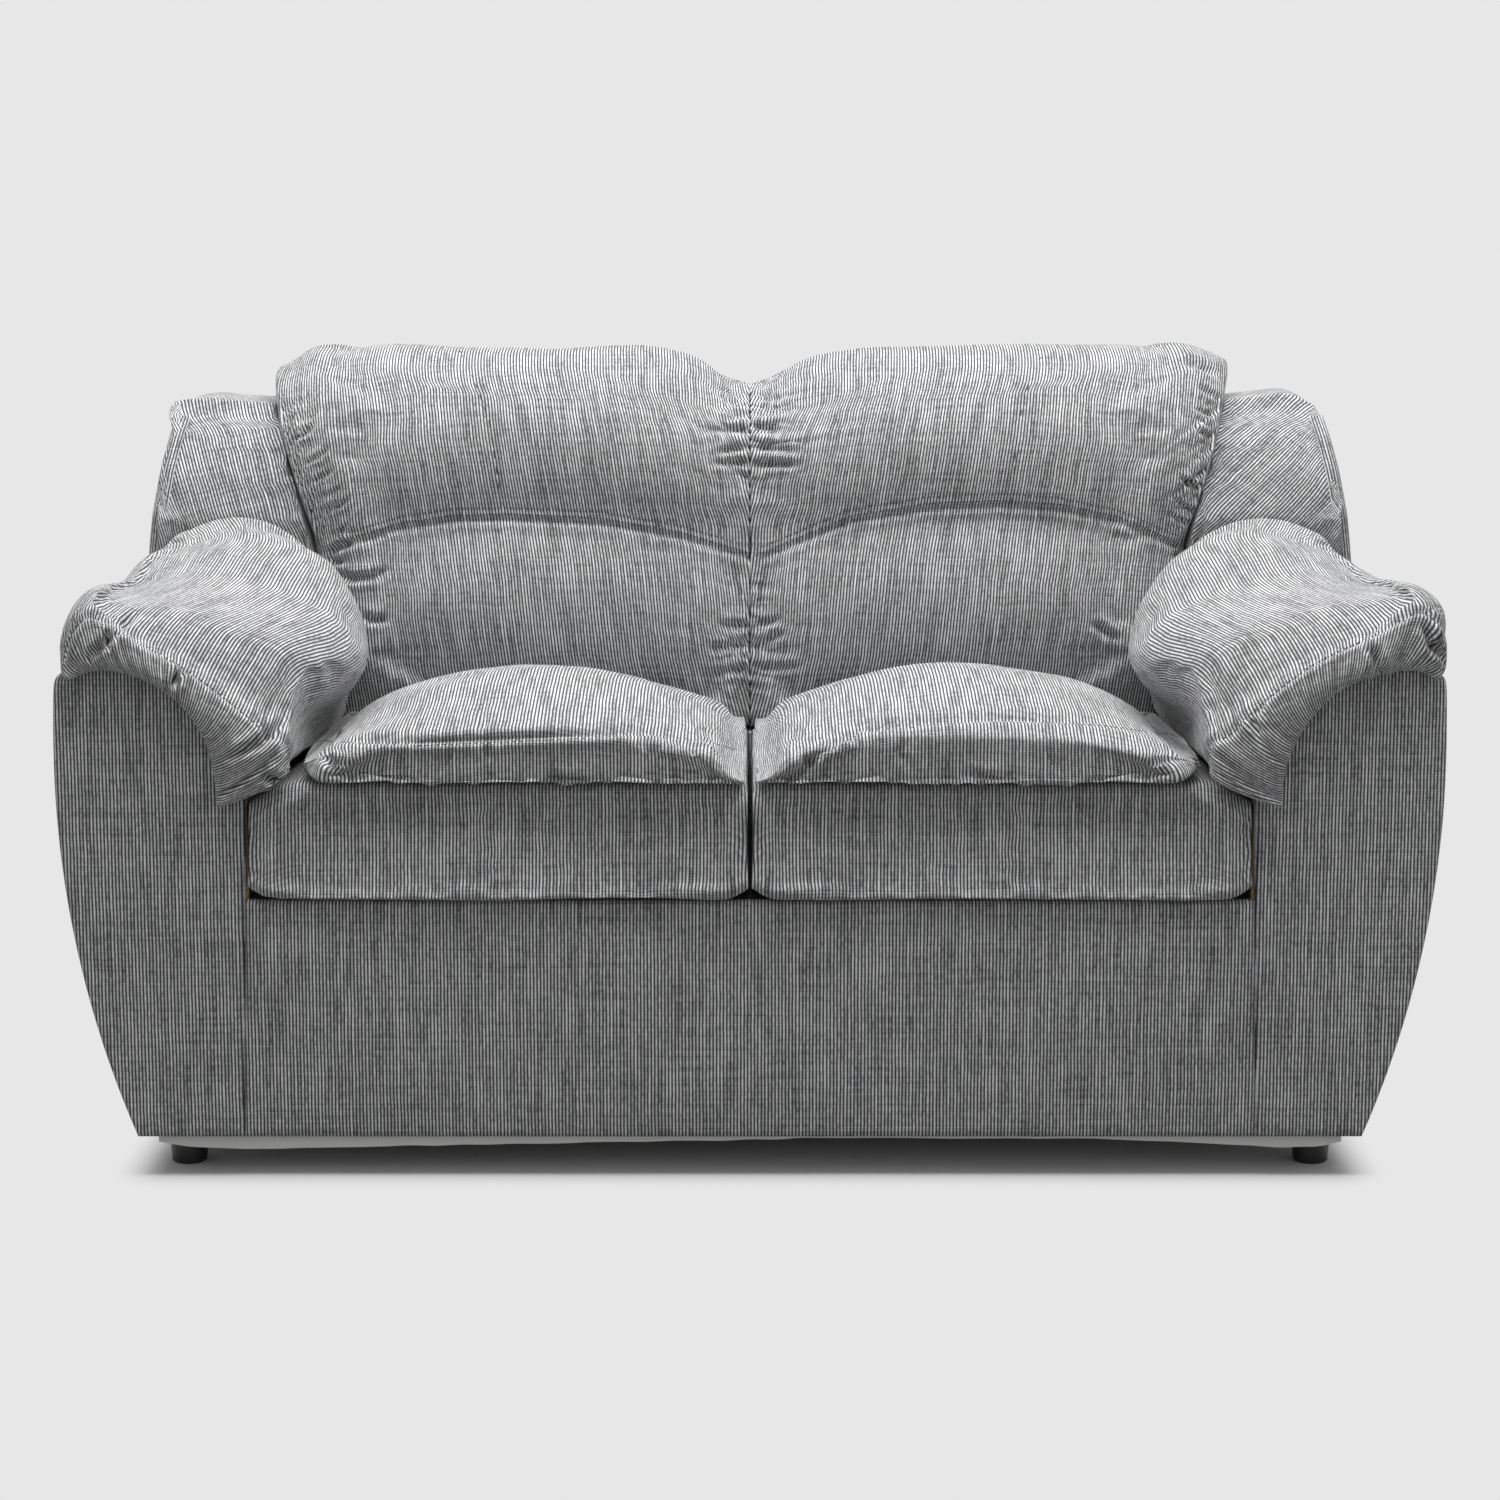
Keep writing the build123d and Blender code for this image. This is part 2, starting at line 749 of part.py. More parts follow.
band_top = cushion_bottom - fit_gap
with BuildPart() as inside_back_band:
    with BuildSketch(along(-bay_half + fit_gap)):
        with BuildLine():
            Polyline(
                (back_front, deck_top + fit_gap),
                (front_plane(deck_top) - webbing_depth, deck_top + fit_gap),
                (front_plane(band_top) - webbing_depth, band_top),
                (back_front, band_top),
                close=True,
            )
        make_face()
    extrude(amount=2 * (bay_half - fit_gap))
save(inside_back_band, "inside_back_band")

with BuildPart() as dust_cover:
    dust_top = foot_height - fit_gap
    dust_half = bow_x(foot_height) - skin - dust_cover_inset
    with BuildSketch(across(frame_front + dust_cover_inset)):
        with BuildLine():
            for drop in (0, dust_cover_thickness):
                for side in (-1, 1):
                    ThreePointArc(
                        (side * dust_half, dust_top - drop),
                        (side * (dust_half + dust_bay_share * dust_half) / 2, dust_top - drop - dust_sag),
                        (side * dust_bay_share * dust_half, dust_top - drop),
                    )
                ThreePointArc(
                    (-dust_bay_share * dust_half, dust_top - drop),
                    (0, dust_top - drop - dust_middle_sag),
                    (dust_bay_share * dust_half, dust_top - drop),
                )
            for side in (-1, 1):
                Line((side * dust_half, dust_top), (side * dust_half, dust_top - dust_cover_thickness))
        make_face()
    extrude(amount=-(rear_board_outer - frame_front - 2 * dust_cover_inset))
    with BuildSketch(Plane.XY):
        foot_ys = (front_foot_y, rear_foot_y)
        with Locations(*[(side * foot_x, y) for side in (-1, 1) for y in foot_ys]):
            Circle(foot_radius + fit_gap)
    extrude(amount=foot_height, mode=Mode.SUBTRACT)
save(dust_cover, "dust_cover")

# Feet and fasteners
with BuildPart() as foot:
    with BuildSketch(Plane.XZ):
        step_height = foot_height - foot_step
        with BuildLine():
            Polyline(
                (screw_radius + fit_gap, foot_height),
                (foot_radius - foot_edge, foot_height),
                (foot_radius, foot_height - foot_edge),
                (foot_radius, step_height + foot_edge),
                (foot_radius - foot_edge, step_height),
                (foot_sole_radius + foot_edge, step_height),
                (foot_sole_radius, foot_edge),
                (foot_sole_radius - foot_edge, 0),
                (screw_recess_radius, 0),
                (screw_recess_radius, step_height),
                (screw_radius + fit_gap, step_height),
                close=True,
            )
        make_face()
    revolve(axis=Axis.Z)

foot_places = {
    "foot_front_left": (-foot_x, front_foot_y, 0),
    "foot_front_right": (foot_x, front_foot_y, 0),
    "foot_rear_left": (-foot_x, rear_foot_y, 0),
    "foot_rear_right": (foot_x, rear_foot_y, 0),
}
for foot_name, place in foot_places.items():
    with BuildPart() as placed_foot:
        with Locations(place):
            add(foot.part)
    save(placed_foot, foot_name)

with BuildPart() as foot_screw:
    seat_z = foot_height - foot_step - fit_gap
    with BuildSketch(Plane.XZ):
        with BuildLine():
            Polyline(
                (0, seat_z - screw_head_height),
                (screw_head_radius, seat_z - screw_head_height),
                (screw_head_radius, seat_z),
                (screw_radius, seat_z),
                (screw_radius, foot_height + screw_reach - screw_radius),
                (0, foot_height + screw_reach),
                close=True,
            )
        make_face()
    revolve(axis=Axis.Z)
with BuildPart() as foot_screws:
    with Locations(*foot_places.values()):
        add(foot_screw.part)
save(foot_screws, "foot_screws")

with BuildPart() as arm_bolts:
    for side in (-1, 1):
        for bolt_y in bolt_places:
            head_plane = Plane(
                origin=(side * (bay_half - bolt_gap - bolt_head_height), bolt_y, bolt_height),
                z_dir=(side, 0, 0),
            )
            with BuildSketch(head_plane):
                Circle(bolt_head_radius)
            extrude(amount=bolt_head_height)
            with BuildSketch(head_plane):
                Circle(bolt_radius)
            extrude(amount=bolt_head_height + bolt_gap + 2 * board + nut_height + bolt_tail)
            nut_plane = head_plane.offset(bolt_head_height + 2 * bolt_gap + 2 * board)
            with BuildSketch(nut_plane):
                RegularPolygon(nut_radius, nut_sides)
            extrude(amount=nut_height)
save(arm_bolts, "arm_bolts")


# Seat cushions
def box_outline():
    """A seat box from the front, as (X, Z): its shoulder beside the arm rounds down."""
    left = cushion_gap
    shoulder_z = box_top - box_shoulder_drop
    shoulder_x = box_side - box_shoulder_width
    with BuildSketch() as outline:
        with BuildLine():
            Line((left + box_corner, box_bottom), (box_side - box_corner, box_bottom))
            RadiusArc(
                (box_side - box_corner, box_bottom),
                (box_side, box_bottom + box_corner),
                -box_corner,
            )
            Line((box_side, box_bottom + box_corner), (box_side, shoulder_z))
            turn = box_shoulder_arc_share * box_shoulder_width
            RadiusArc((box_side, shoulder_z), (shoulder_x, box_top), -turn)
            Line((shoulder_x, box_top), (left + box_corner, box_top))
            RadiusArc((left + box_corner, box_top), (left, box_top - box_corner), -box_corner)
            Line((left, box_top - box_corner), (left, box_bottom + box_corner))
            RadiusArc((left, box_bottom + box_corner), (left + box_corner, box_bottom), -box_corner)
        make_face()
    return outline.sketch


def box_block(inset):
    """A seat box drawn in by inset on every side, with its front and rear edges rounded."""
    with BuildPart() as block:
        with BuildSketch(across(box_front + inset)):
            add(box_outline())
            if inset:
                offset(amount=-inset, mode=Mode.REPLACE)
        extrude(amount=-(seat_depth - 2 * inset))
        ends = block.faces().sort_by(Axis.Y)
        fillet([*ends[0].edges(), *ends[-1].edges()], box_edge - inset)
    return block


outer_box = box_block(0)
inner_box = box_block(ticking)
core_box = box_block(ticking + fit_gap)
with BuildPart() as seat_box_cover:
    add(outer_box.part)
    add(inner_box.part, mode=Mode.SUBTRACT)
    with BuildSketch(across(box_rear)):
        with Locations(((cushion_gap + box_side) / 2, (box_bottom + box_top) / 2)):
            Rectangle(zip_length, zip_gap)
    extrude(amount=2 * ticking, mode=Mode.SUBTRACT)
save_pair(seat_box_cover, "seat_box_cover")
save_pair(core_box, "seat_foam_core")

# Stations of the pillow top from front to rear. The shares are: place along the pillow,
# how far the side is drawn in, side height, crown height and height of the inner shoulder.
pillow_shares = (
    (0.0, 1.0, 0.9, 0.56, 0.36),
    (0.06, 0.3, 1.0, 0.68, 0.41),
    (0.24, 0.0, 1.0, 0.88, 0.42),
    (0.47, 0.0, 1.0, 1.0, 0.42),
    (0.74, 0.0, 0.86, 0.86, 0.4),
    (0.93, 0.4, 0.6, 0.58, 0.32),
    (1.0, 1.0, 0.45, 0.36, 0.22),
)
with BuildPart() as seat_pillow:
    pillow_inner = 2 * cushion_gap
    crown_x = pillow_crown_share * pillow_outer
    for place, drawn, side_share, crown_share, inner_share in pillow_shares:
        station_y = box_front + place * (pillow_rear - box_front)
        outer = pillow_outer - (pillow_draw_share + drawn) * pillow_side_bulge
        side_z = pillow_bottom + side_share * pillow_side
        shoulder = (pillow_shoulder_share * pillow_inner, pillow_bottom + inner_share * pillow_crown)
        with BuildSketch(across(station_y)):
            with BuildLine():
                Line((pillow_inner, pillow_bottom), (outer - pillow_side_bulge, pillow_bottom))
                ThreePointArc(
                    (outer - pillow_side_bulge, pillow_bottom),
                    (outer, (pillow_bottom + side_z) / 2),
                    (outer - pillow_side_bulge, side_z),
                )
                ThreePointArc(
                    (outer - pillow_side_bulge, side_z),
                    (crown_x, pillow_bottom + crown_share * pillow_crown),
                    shoulder,
                )
                Line(shoulder, (pillow_inner, pillow_bottom))
            make_face()
    loft()
save_pair(seat_pillow, "seat_pillow")

# Stations of a back cushion from the middle of the sofa outwards, as shares of its width,
# and how deep the sewn dart is at each.
back_shares = (
    (0.0, 0.0),
    (0.08, 0.0),
    (0.25, 0.0),
    (0.5, 1.0),
    (0.75, 0.0),
    (0.92, 0.0),
    (1.0, 0.0),
)
with BuildPart() as back_cushion:
    roll_z = back_frame_top + roll_gap
    bulge_start = cushion_bottom + bulge_start_rise
    for place, dart in back_shares:
        lean = radians(back_cushion_lean) * place
        station = Plane(
            origin=(back_cushion_gap + place * back_cushion_bottom_width, 0, cushion_bottom),
            x_dir=(0, 1, 0),
            z_dir=(cos(lean), 0, -sin(lean)),
        )
        drawn = end_draw * (2 * place - 1) ** 4
        channel_z = channel_height - channel_fall * (2 * place - 1) ** 2
        dip = dart_dip * dart
        head_z = channel_z + head_share * (back_cushion_top - channel_height)
        shoulder_z = channel_z + shoulder_share * (back_cushion_top - channel_height) - drawn / 2
        low_y = back_front + low_draw_share * drawn
        places = {
            "rear_foot": (front_plane(cushion_bottom) - webbing_depth, cushion_bottom),
            "front_foot": (low_y, cushion_bottom),
            "bulge_start": (low_y, bulge_start),
            "bulge": (back_front - lower_bulge_depth + drawn, (bulge_start + channel_z) / 2),
            "channel": (back_front + channel_draw_share * drawn, channel_z),
            "head": (
                back_front - head_bulge_share * lower_bulge_depth + head_draw_share * drawn + dip,
                head_z,
            ),
            "shoulder": (
                back_front + shoulder_set_share * lower_bulge_depth + shoulder_draw_share * drawn,
                shoulder_z,
            ),
            "top": (
                front_plane(base_top) + shoulder_set_share * top_roll_thickness,
                back_cushion_top - top_draw_share * drawn - dip,
            ),
            "rear_top": (
                rear_y - rear_set_share * top_roll_thickness,
                back_cushion_top - roll_drop_share * top_roll_thickness - low_draw_share * drawn,
            ),
            "rear_bulge": (
                rear_y - head_bulge_share * top_roll_thickness,
                back_frame_top + roll_middle_share * top_roll_thickness,
            ),
            "rear_edge": (
                rear_y - rear_edge_share * top_roll_thickness - rear_draw_share * drawn,
                roll_z,
            ),
            "rail_edge": (front_plane(roll_z) - webbing_depth, roll_z),
        }
        on_station = {
            name: (y, (z - cushion_bottom) / cos(lean)) for name, (y, z) in places.items()
        }
        with BuildSketch(station):
            with BuildLine():
                Polyline(
                    on_station["rear_foot"], on_station["front_foot"], on_station["bulge_start"]
                )
                for curve in (
                    ("bulge_start", "bulge", "channel"),
                    ("channel", "head", "shoulder"),
                    ("shoulder", "top", "rear_top"),
                    ("rear_top", "rear_bulge", "rear_edge"),
                ):
                    ThreePointArc(*[on_station[name] for name in curve])
                Polyline(
                    on_station["rear_edge"], on_station["rail_edge"], on_station["rear_foot"]
                )
            make_face()
    loft()
save_pair(back_cushion, "back_cushion")

# Stations of an arm pillow from front to rear. The shares are: place along the pillow,
# height of the crest, reach and height of the inner bulge, reach and height of the inner
# shoulder, how far the low inner edge stands off, and how far the outer side is drawn in.
pad_shares = (
    (0.0, 0.53, 0.36, 0.2, 0.18, 0.27, 0.14, 0.5),
    (0.03, 0.58, 0.48, 0.24, 0.26, 0.36, 0.07, 0.3),
    (0.21, 0.757, 0.86, 0.38, 0.66, 0.6, 0.0, 0.2),
    (0.5, 0.92, 1.0, 0.42, 0.76, 0.72, 0.0, 0.08),
    (0.76, 0.985, 0.92, 0.45, 0.66, 0.8, 0.0, 0.0),
    (0.93, 1.0, 0.55, 0.5, 0.3, 0.84, 0.12, 0.0),
    (1.0, 0.99, 0.2, 0.5, 0.1, 0.8, 0.3, 0.1),
)
with BuildPart() as arm_pad:
    outer_limit = sofa_width / 2
    pad_length = pad_rear_y - front_y
    pad_rise = pad_top - box_top
    pad_inner = pillow_outer + pad_gap
    pad_low = box_top + pad_gap
    pad_step = pillow_bottom + pad_step_share * pillow_side + pad_gap
    pad_side_low = arm_side_top + fit_gap
    for place, crest, reach, reach_z, shoulder, shoulder_rise, stand_off, drawn in pad_shares:
        outer = outer_limit - drawn * pad_edge_width
        inner_low = pad_inner + stand_off * pad_overhang
        with BuildSketch(across(front_y + place * pad_length)):
            with BuildLine():
                start = (bay_half + pad_root, box_top - pad_root)
                edge = (outer - pad_edge_width, pad_side_low + pad_edge_share * (1 + crest) * pad_rise)
                side = (outer - pad_gap, pad_side_low + pad_side_share * pad_rise)
                under = (outer - 2 * pad_gap, pad_side_low)
                inside = (bay_half - reach * pad_overhang, box_top + reach_z * pad_rise)
                inner_top = (
                    bay_half - shoulder * pad_overhang,
                    box_top + shoulder_rise * pad_rise,
                )
                crest_point = (
                    bay_half + pad_edge_width + pad_crest_share * pad_overhang * (1 + crest),
                    box_top + crest * pad_rise,
                )
                hollow = (arm_middle_x - pad_gap, arm_middle_top - bent_board - board)
                Polyline(
                    start,
                    (bay_half + pad_gap, pad_low),
                    (inner_low, pad_low),
                    (inner_low, pad_step),
                )
                ThreePointArc((inner_low, pad_step), inside, inner_top)
                ThreePointArc(inner_top, crest_point, edge)
                ThreePointArc(edge, side, under)
                ThreePointArc(under, hollow, start)
            make_face()
    loft()
    with BuildSketch(across(panel_front - fit_gap)):
        crown = arm_curve(-fit_gap)
        beyond = bow_x(arm_side_top) + board
        with BuildLine():
            Polyline(
                (bay_half - fit_gap, base_top),
                (beyond, base_top),
                (beyond, pad_side_low),
                (arm_outer_x, pad_side_low),
                crown[0],
            )
            ThreePointArc(*crown)
            Polyline(crown[2], (bay_half - fit_gap, crown[2][1]), (bay_half - fit_gap, base_top))
        make_face()
    extrude(amount=-sofa_depth, mode=Mode.SUBTRACT)
save_pair(arm_pad, "arm_pad")

# Stations of a wing from its foot up, as shares of its height, and how far it is drawn in.
# The cap closes over the board and the former beside it.
wing_shares = ((0.0, 0.0), (0.39, 0.0), (0.6, 0.0), (0.8, 0.0), (wing_cap_share, 0.0))
wing_cap_shares = ((wing_cap_share, 0.0), (0.95, 0.12), (0.985, 0.5), (1.0, 1.0))


def wing_station(share, drawn, spread):
    """The flat section of a wing at one station, spread outwards and to the rear."""
    z = wing_bottom + share * wing_height
    close_in = drawn * wing_crown
    cushion_side = back_cushion_gap + back_cushion_bottom_width
    cushion_side += (z - cushion_bottom) * tan(radians(back_cushion_lean)) + wing_gap
    inner = cushion_side + close_in / 2
    outer = bow_x(z) - skin - close_in + spread
    front = wing_front(z) + close_in
    frame_y = front_plane(z) - webbing_depth
    rear = rear_plane(z) - 2 * fit_gap - wing_former_thickness - close_in + spread
    with BuildSketch(Plane.XY.offset(z)) as section:
        with BuildLine():
            Polyline(
                (inner, front + wing_crown),
                (inner, frame_y),
                (wing_former_x, frame_y),
                (wing_former_x, rear),
                (outer, rear),
                (outer, front + wing_crown),
            )
            ThreePointArc(
                (outer, front + wing_crown),
                ((inner + outer) / 2, front),
                (inner, front + wing_crown),
            )
        make_face()
    return section.sketch


with BuildPart() as wing_pad:
    loft([wing_station(share, drawn, 0) for share, drawn in wing_shares], ruled=True)
    cap_spread = wing_former_thickness - fit_gap
    loft([wing_station(share, drawn, cap_spread) for share, drawn in wing_cap_shares], ruled=True)
save_pair(wing_pad, "wing_pad")
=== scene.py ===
import json
import logging
import math
from dataclasses import dataclass, field
from enum import Enum, StrEnum

import bpy
import numpy as np
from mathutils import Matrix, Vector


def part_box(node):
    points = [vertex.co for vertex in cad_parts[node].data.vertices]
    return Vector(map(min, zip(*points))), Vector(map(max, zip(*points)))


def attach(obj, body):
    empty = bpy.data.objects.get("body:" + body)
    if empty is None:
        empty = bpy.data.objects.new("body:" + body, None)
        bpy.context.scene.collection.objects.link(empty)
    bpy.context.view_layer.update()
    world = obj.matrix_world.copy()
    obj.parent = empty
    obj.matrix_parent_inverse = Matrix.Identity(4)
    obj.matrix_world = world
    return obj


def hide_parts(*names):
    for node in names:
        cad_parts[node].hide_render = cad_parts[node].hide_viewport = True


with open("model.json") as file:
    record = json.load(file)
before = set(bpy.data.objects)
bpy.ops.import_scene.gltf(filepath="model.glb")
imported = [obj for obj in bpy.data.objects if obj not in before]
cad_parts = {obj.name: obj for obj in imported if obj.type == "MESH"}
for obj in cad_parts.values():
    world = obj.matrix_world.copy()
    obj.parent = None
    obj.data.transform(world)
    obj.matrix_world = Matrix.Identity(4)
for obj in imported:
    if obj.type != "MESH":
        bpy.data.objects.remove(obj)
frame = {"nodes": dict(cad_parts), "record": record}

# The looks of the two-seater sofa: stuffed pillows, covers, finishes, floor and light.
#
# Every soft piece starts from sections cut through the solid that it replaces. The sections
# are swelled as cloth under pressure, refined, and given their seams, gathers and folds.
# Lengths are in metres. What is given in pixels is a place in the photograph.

log = logging.getLogger("sofa")
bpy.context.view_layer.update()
WEAVE_UV = "weave"
LOOK = "_look"  # sets the finishes made here apart from those that come with the frame
SHARP = math.radians(62)  # faces that meet at more than this keep their edge
CLEAR = 0.0006  # how far the two cushions of a pair stay off the middle plane
WELD = 1e5  # corners are one when they agree to a metre divided by this
NUDGE = 1e-7  # keeps a cutting plane off the corners of a mesh
TINY = 1e-12
FAR = 1e9

Array = np.ndarray
Socket = bpy.types.NodeSocket
Piece = bpy.types.Object
Pair = tuple[float, float]
Pairs = tuple[Pair, ...]
Counts = tuple[int, ...]
Color = tuple[float, float, float]


class Carry(Enum):
    """Over which half of a cap the stripes of its shell go on."""

    NEITHER = 0
    FIRST = 1
    SECOND = -1


class Side(StrEnum):
    """The two sides of the sofa, as the photograph shows them."""

    RIGHT = "right"
    LEFT = "left"

    @property
    def left(self) -> bool:
        """Whether this is the left side."""
        return self is Side.LEFT

    @property
    def carry(self) -> Carry:
        """The half of a cap that lies on the stripes' side."""
        return Carry.FIRST if self.left else Carry.SECOND


# ---- view of the photograph
@dataclass(frozen=True)
class View:
    """The camera that the photograph was taken with, and its picture plane in pixels."""

    distance: float = 3.95
    height: float = 1.015
    tilt: float = math.radians(8.45)
    focal_px: float = 3182.0
    picture_px: float = 1500.0
    sensor_mm: float = 36.0

    @property
    def lens_mm(self) -> float:
        """Focal length for the sensor."""
        return self.focal_px / self.picture_px * self.sensor_mm

    def pixels(self, points: Array) -> Array:
        """Where points show in the photograph.

        Args:
            points: places in metres, last axis of three.

        Returns:
            Pixel pairs, last axis of two.
        """
        ahead = points[..., 1] + self.distance
        rise = points[..., 2] - self.height
        depth = ahead * math.cos(self.tilt) - rise * math.sin(self.tilt)
        lift = rise * math.cos(self.tilt) + ahead * math.sin(self.tilt)
        middle = self.picture_px / 2
        across = middle + self.focal_px * points[..., 0] / depth
        down = middle - self.focal_px * lift / depth
        return np.stack([across, down], axis=-1)


VIEW = View()


# ---- lengths and noise
LATTICE = 64  # steps after which the noise repeats
FOLD_OCTAVES = ((1.0, 0.65), (0.55, 0.4))  # scale and weight of the wide and narrow folds
FOLD_DRIFT = 0.35
RIDGE_RISE, VALLEY_DROP, VALLEY_WIDTH = 0.4, 1.6, 0.28


def run_length(line: Array) -> Array:
    """How far each point of a line lies along it."""
    return np.r_[0, np.cumsum(np.linalg.norm(np.diff(line, axis=0), axis=1))]


def grid_length(grid: Array, axis: int) -> Array:
    """How far each point of a grid lies from the first row (axis 0) or column (axis 1)."""
    steps = np.linalg.norm(np.diff(grid, axis=axis), axis=2)
    return np.insert(np.cumsum(steps, axis=axis), 0, 0, axis=axis)


def ramp(values: Array, start: float, span: float) -> Array:
    """Zero up to a start, one beyond a span from there, and straight in between."""
    return np.clip((values - start) / span, 0, 1)


def lattice_noise(x: Array, y: Array, seed: int) -> Array:
    """Smooth random values between -1 and 1.

    Args:
        x: first coordinate, one lattice step for each unit.
        y: second coordinate, of the same shape.
        seed: picks the pattern.

    Returns:
        Values of the same shape.
    """
    table = np.random.default_rng(seed).uniform(-1, 1, (LATTICE, LATTICE))
    x0, y0 = np.floor(x).astype(int), np.floor(y).astype(int)
    fx, fy = x - x0, y - y0
    fx, fy = fx * fx * (3 - 2 * fx), fy * fy * (3 - 2 * fy)
    x0, x1, y0, y1 = (step % LATTICE for step in (x0, x0 + 1, y0, y0 + 1))
    low = table[x0, y0] * (1 - fx) + table[x1, y0] * fx
    high = table[x0, y1] * (1 - fx) + table[x1, y1] * fx
    return low * (1 - fy) + high * fy


def folds(along: Array, away: Array, wave: float, seed: int) -> Array:
    """Gathered cloth: sharp valleys between round ridges, which fade at different lengths.

    Args:
        along: distance along the seam.
        away: distance from the seam.
        wave: mean distance between folds.
        seed: picks the pattern.

    Returns:
        Heights between about -1 and 0.4.
    """
    total = np.zeros_like(along)
    for octave, (scale, weight) in enumerate(FOLD_OCTAVES):
        drift = FOLD_DRIFT * lattice_noise(along / wave, away / (3 * wave), seed + 7 + octave)
        ridge = lattice_noise(along / (wave * scale) + drift, away / (9 * wave), seed + octave)
        total += weight * (RIDGE_RISE - VALLEY_DROP * np.exp(-((ridge / VALLEY_WIDTH) ** 2)))
    return total


# ---- sections of a solid
SECTION_AXES = (((0, -1, 0), (0, 0, 1)), ((1, 0, 0), (0, 0, 1)), ((1, 0, 0), (0, -1, 0)))


def node_triangles(name: str) -> tuple[Array, Array]:
    """The welded corners and triangles of a node of the frame.

    Args:
        name: the node's name.

    Returns:
        Points (n, 3) and triangles (m, 3).
    """
    node = frame["nodes"][name]
    mesh = node.data
    mesh.calc_loop_triangles()
    points = np.empty(len(mesh.vertices) * 3)
    mesh.vertices.foreach_get("co", points)
    matrix = np.array(node.matrix_world)
    points = points.reshape(-1, 3) @ matrix[:3, :3].T + matrix[:3, 3]
    corners = np.empty(len(mesh.loop_triangles) * 3, dtype=np.int32)
    mesh.loop_triangles.foreach_get("vertices", corners)
    rounded = np.round(points * WELD).astype(np.int64)
    unique, index = np.unique(rounded, axis=0, return_inverse=True)
    return unique / WELD, index.reshape(-1)[corners].reshape(-1, 3)


def section(points: Array, triangles: Array, origin: Array, normal: Array) -> Array:
    """The longest closed line in which a plane cuts a mesh.

    Args:
        points: the mesh's points.
        triangles: its triangles.
        origin: a point of the plane.
        normal: the plane's normal.

    Returns:
        The line's points (n, 3) in order.
    """
    side = (points - origin) @ normal + NUDGE
    below = side[triangles] < 0
    crossing = below.any(axis=1) & ~below.all(axis=1)
    places: dict[tuple[int, int], Array] = {}
    links: dict[tuple[int, int], list[tuple[int, int]]] = {}
    for a, b, c in triangles[crossing]:
        ends = []
        for p, q in ((a, b), (b, c), (c, a)):
            if (side[p] < 0) != (side[q] < 0):
                key = (min(p, q), max(p, q))
                share = side[p] / (side[p] - side[q])
                places[key] = points[p] + share * (points[q] - points[p])
                ends.append(key)
        if len(ends) == 2 and ends[0] != ends[1]:
            links.setdefault(ends[0], []).append(ends[1])
            links.setdefault(ends[1], []).append(ends[0])
    best, best_length = np.zeros((0, 3)), 0.0
    unused = set(links)
    while unused:
        current = unused.pop()
        line = [current]
        while True:
            following = [key for key in links[current] if key in unused]
            if not following:
                break
            current = following[0]
            unused.discard(current)
            line.append(current)
        found = np.array([places[key] for key in line])
        length = run_length(found)[-1]
        if length > best_length:
            best, best_length = found, length
    return best


def even_loop(loop: Array, axes: Array, marks: Pairs, counts: Counts) -> Array:
    """Points at even steps between the corners of a closed line.

    Args:
        loop: the line's points.
        axes: two unit vectors of its plane; the result turns from the first to the second.
        marks: the corners, each as the direction in which it lies furthest.
        counts: how many steps there are from each corner to the next.

    Returns:
        sum(counts) points, from the first corner on.
    """
    flat = loop @ axes.T
    following = np.roll(flat, -1, axis=0)
    if (flat[:, 0] * following[:, 1] - following[:, 0] * flat[:, 1]).sum() < 0:
        loop, flat = loop[::-1], flat[::-1]
    first = int(np.argmax(flat @ np.array(marks[0])))
    loop, flat = np.roll(loop, -first, axis=0), np.roll(flat, -first, axis=0)
    corners = [0] + [int(np.argmax(flat @ np.array(mark))) for mark in marks[1:]] + [len(loop)]
    for k in range(1, len(corners)):
        corners[k] = max(corners[k], corners[k - 1] + 1)
    closed = np.vstack([loop, loop[:1]])
    result = []
    for low, high, count in zip(corners, corners[1:], counts):
        part = closed[low : high + 1]
        steps = run_length(part)
        wanted = np.linspace(0, steps[-1], count + 1)[:-1]
        result.append(np.stack([np.interp(wanted, steps, part[:, k]) for k in range(3)], axis=1))
    return np.vstack(result)


def sliced(node: str, axis: int, shares: Array, marks: Pairs, counts: Counts) -> Array:
    """Even loops of the sections of a node across one axis.

    Args:
        node: the node's name.
        axis: 0, 1 or 2 for sections across X, Y or Z.
        shares: the places of the sections, as shares of the node's extent.
        marks: the corners of a section.
        counts: the steps from each corner to the next.

    Returns:
        Points (sections, steps, 3).
    """
    points, triangles = node_triangles(node)
    low, high = points[:, axis].min(), points[:, axis].max()
    normal, axes = np.eye(3)[axis], np.array(SECTION_AXES[axis])
    loops = []
    for share in shares:
        loop = section(points, triangles, (low + share * (high - low)) * normal, normal)
        loops.append(even_loop(loop, axes, marks, counts))
    return np.array(loops)


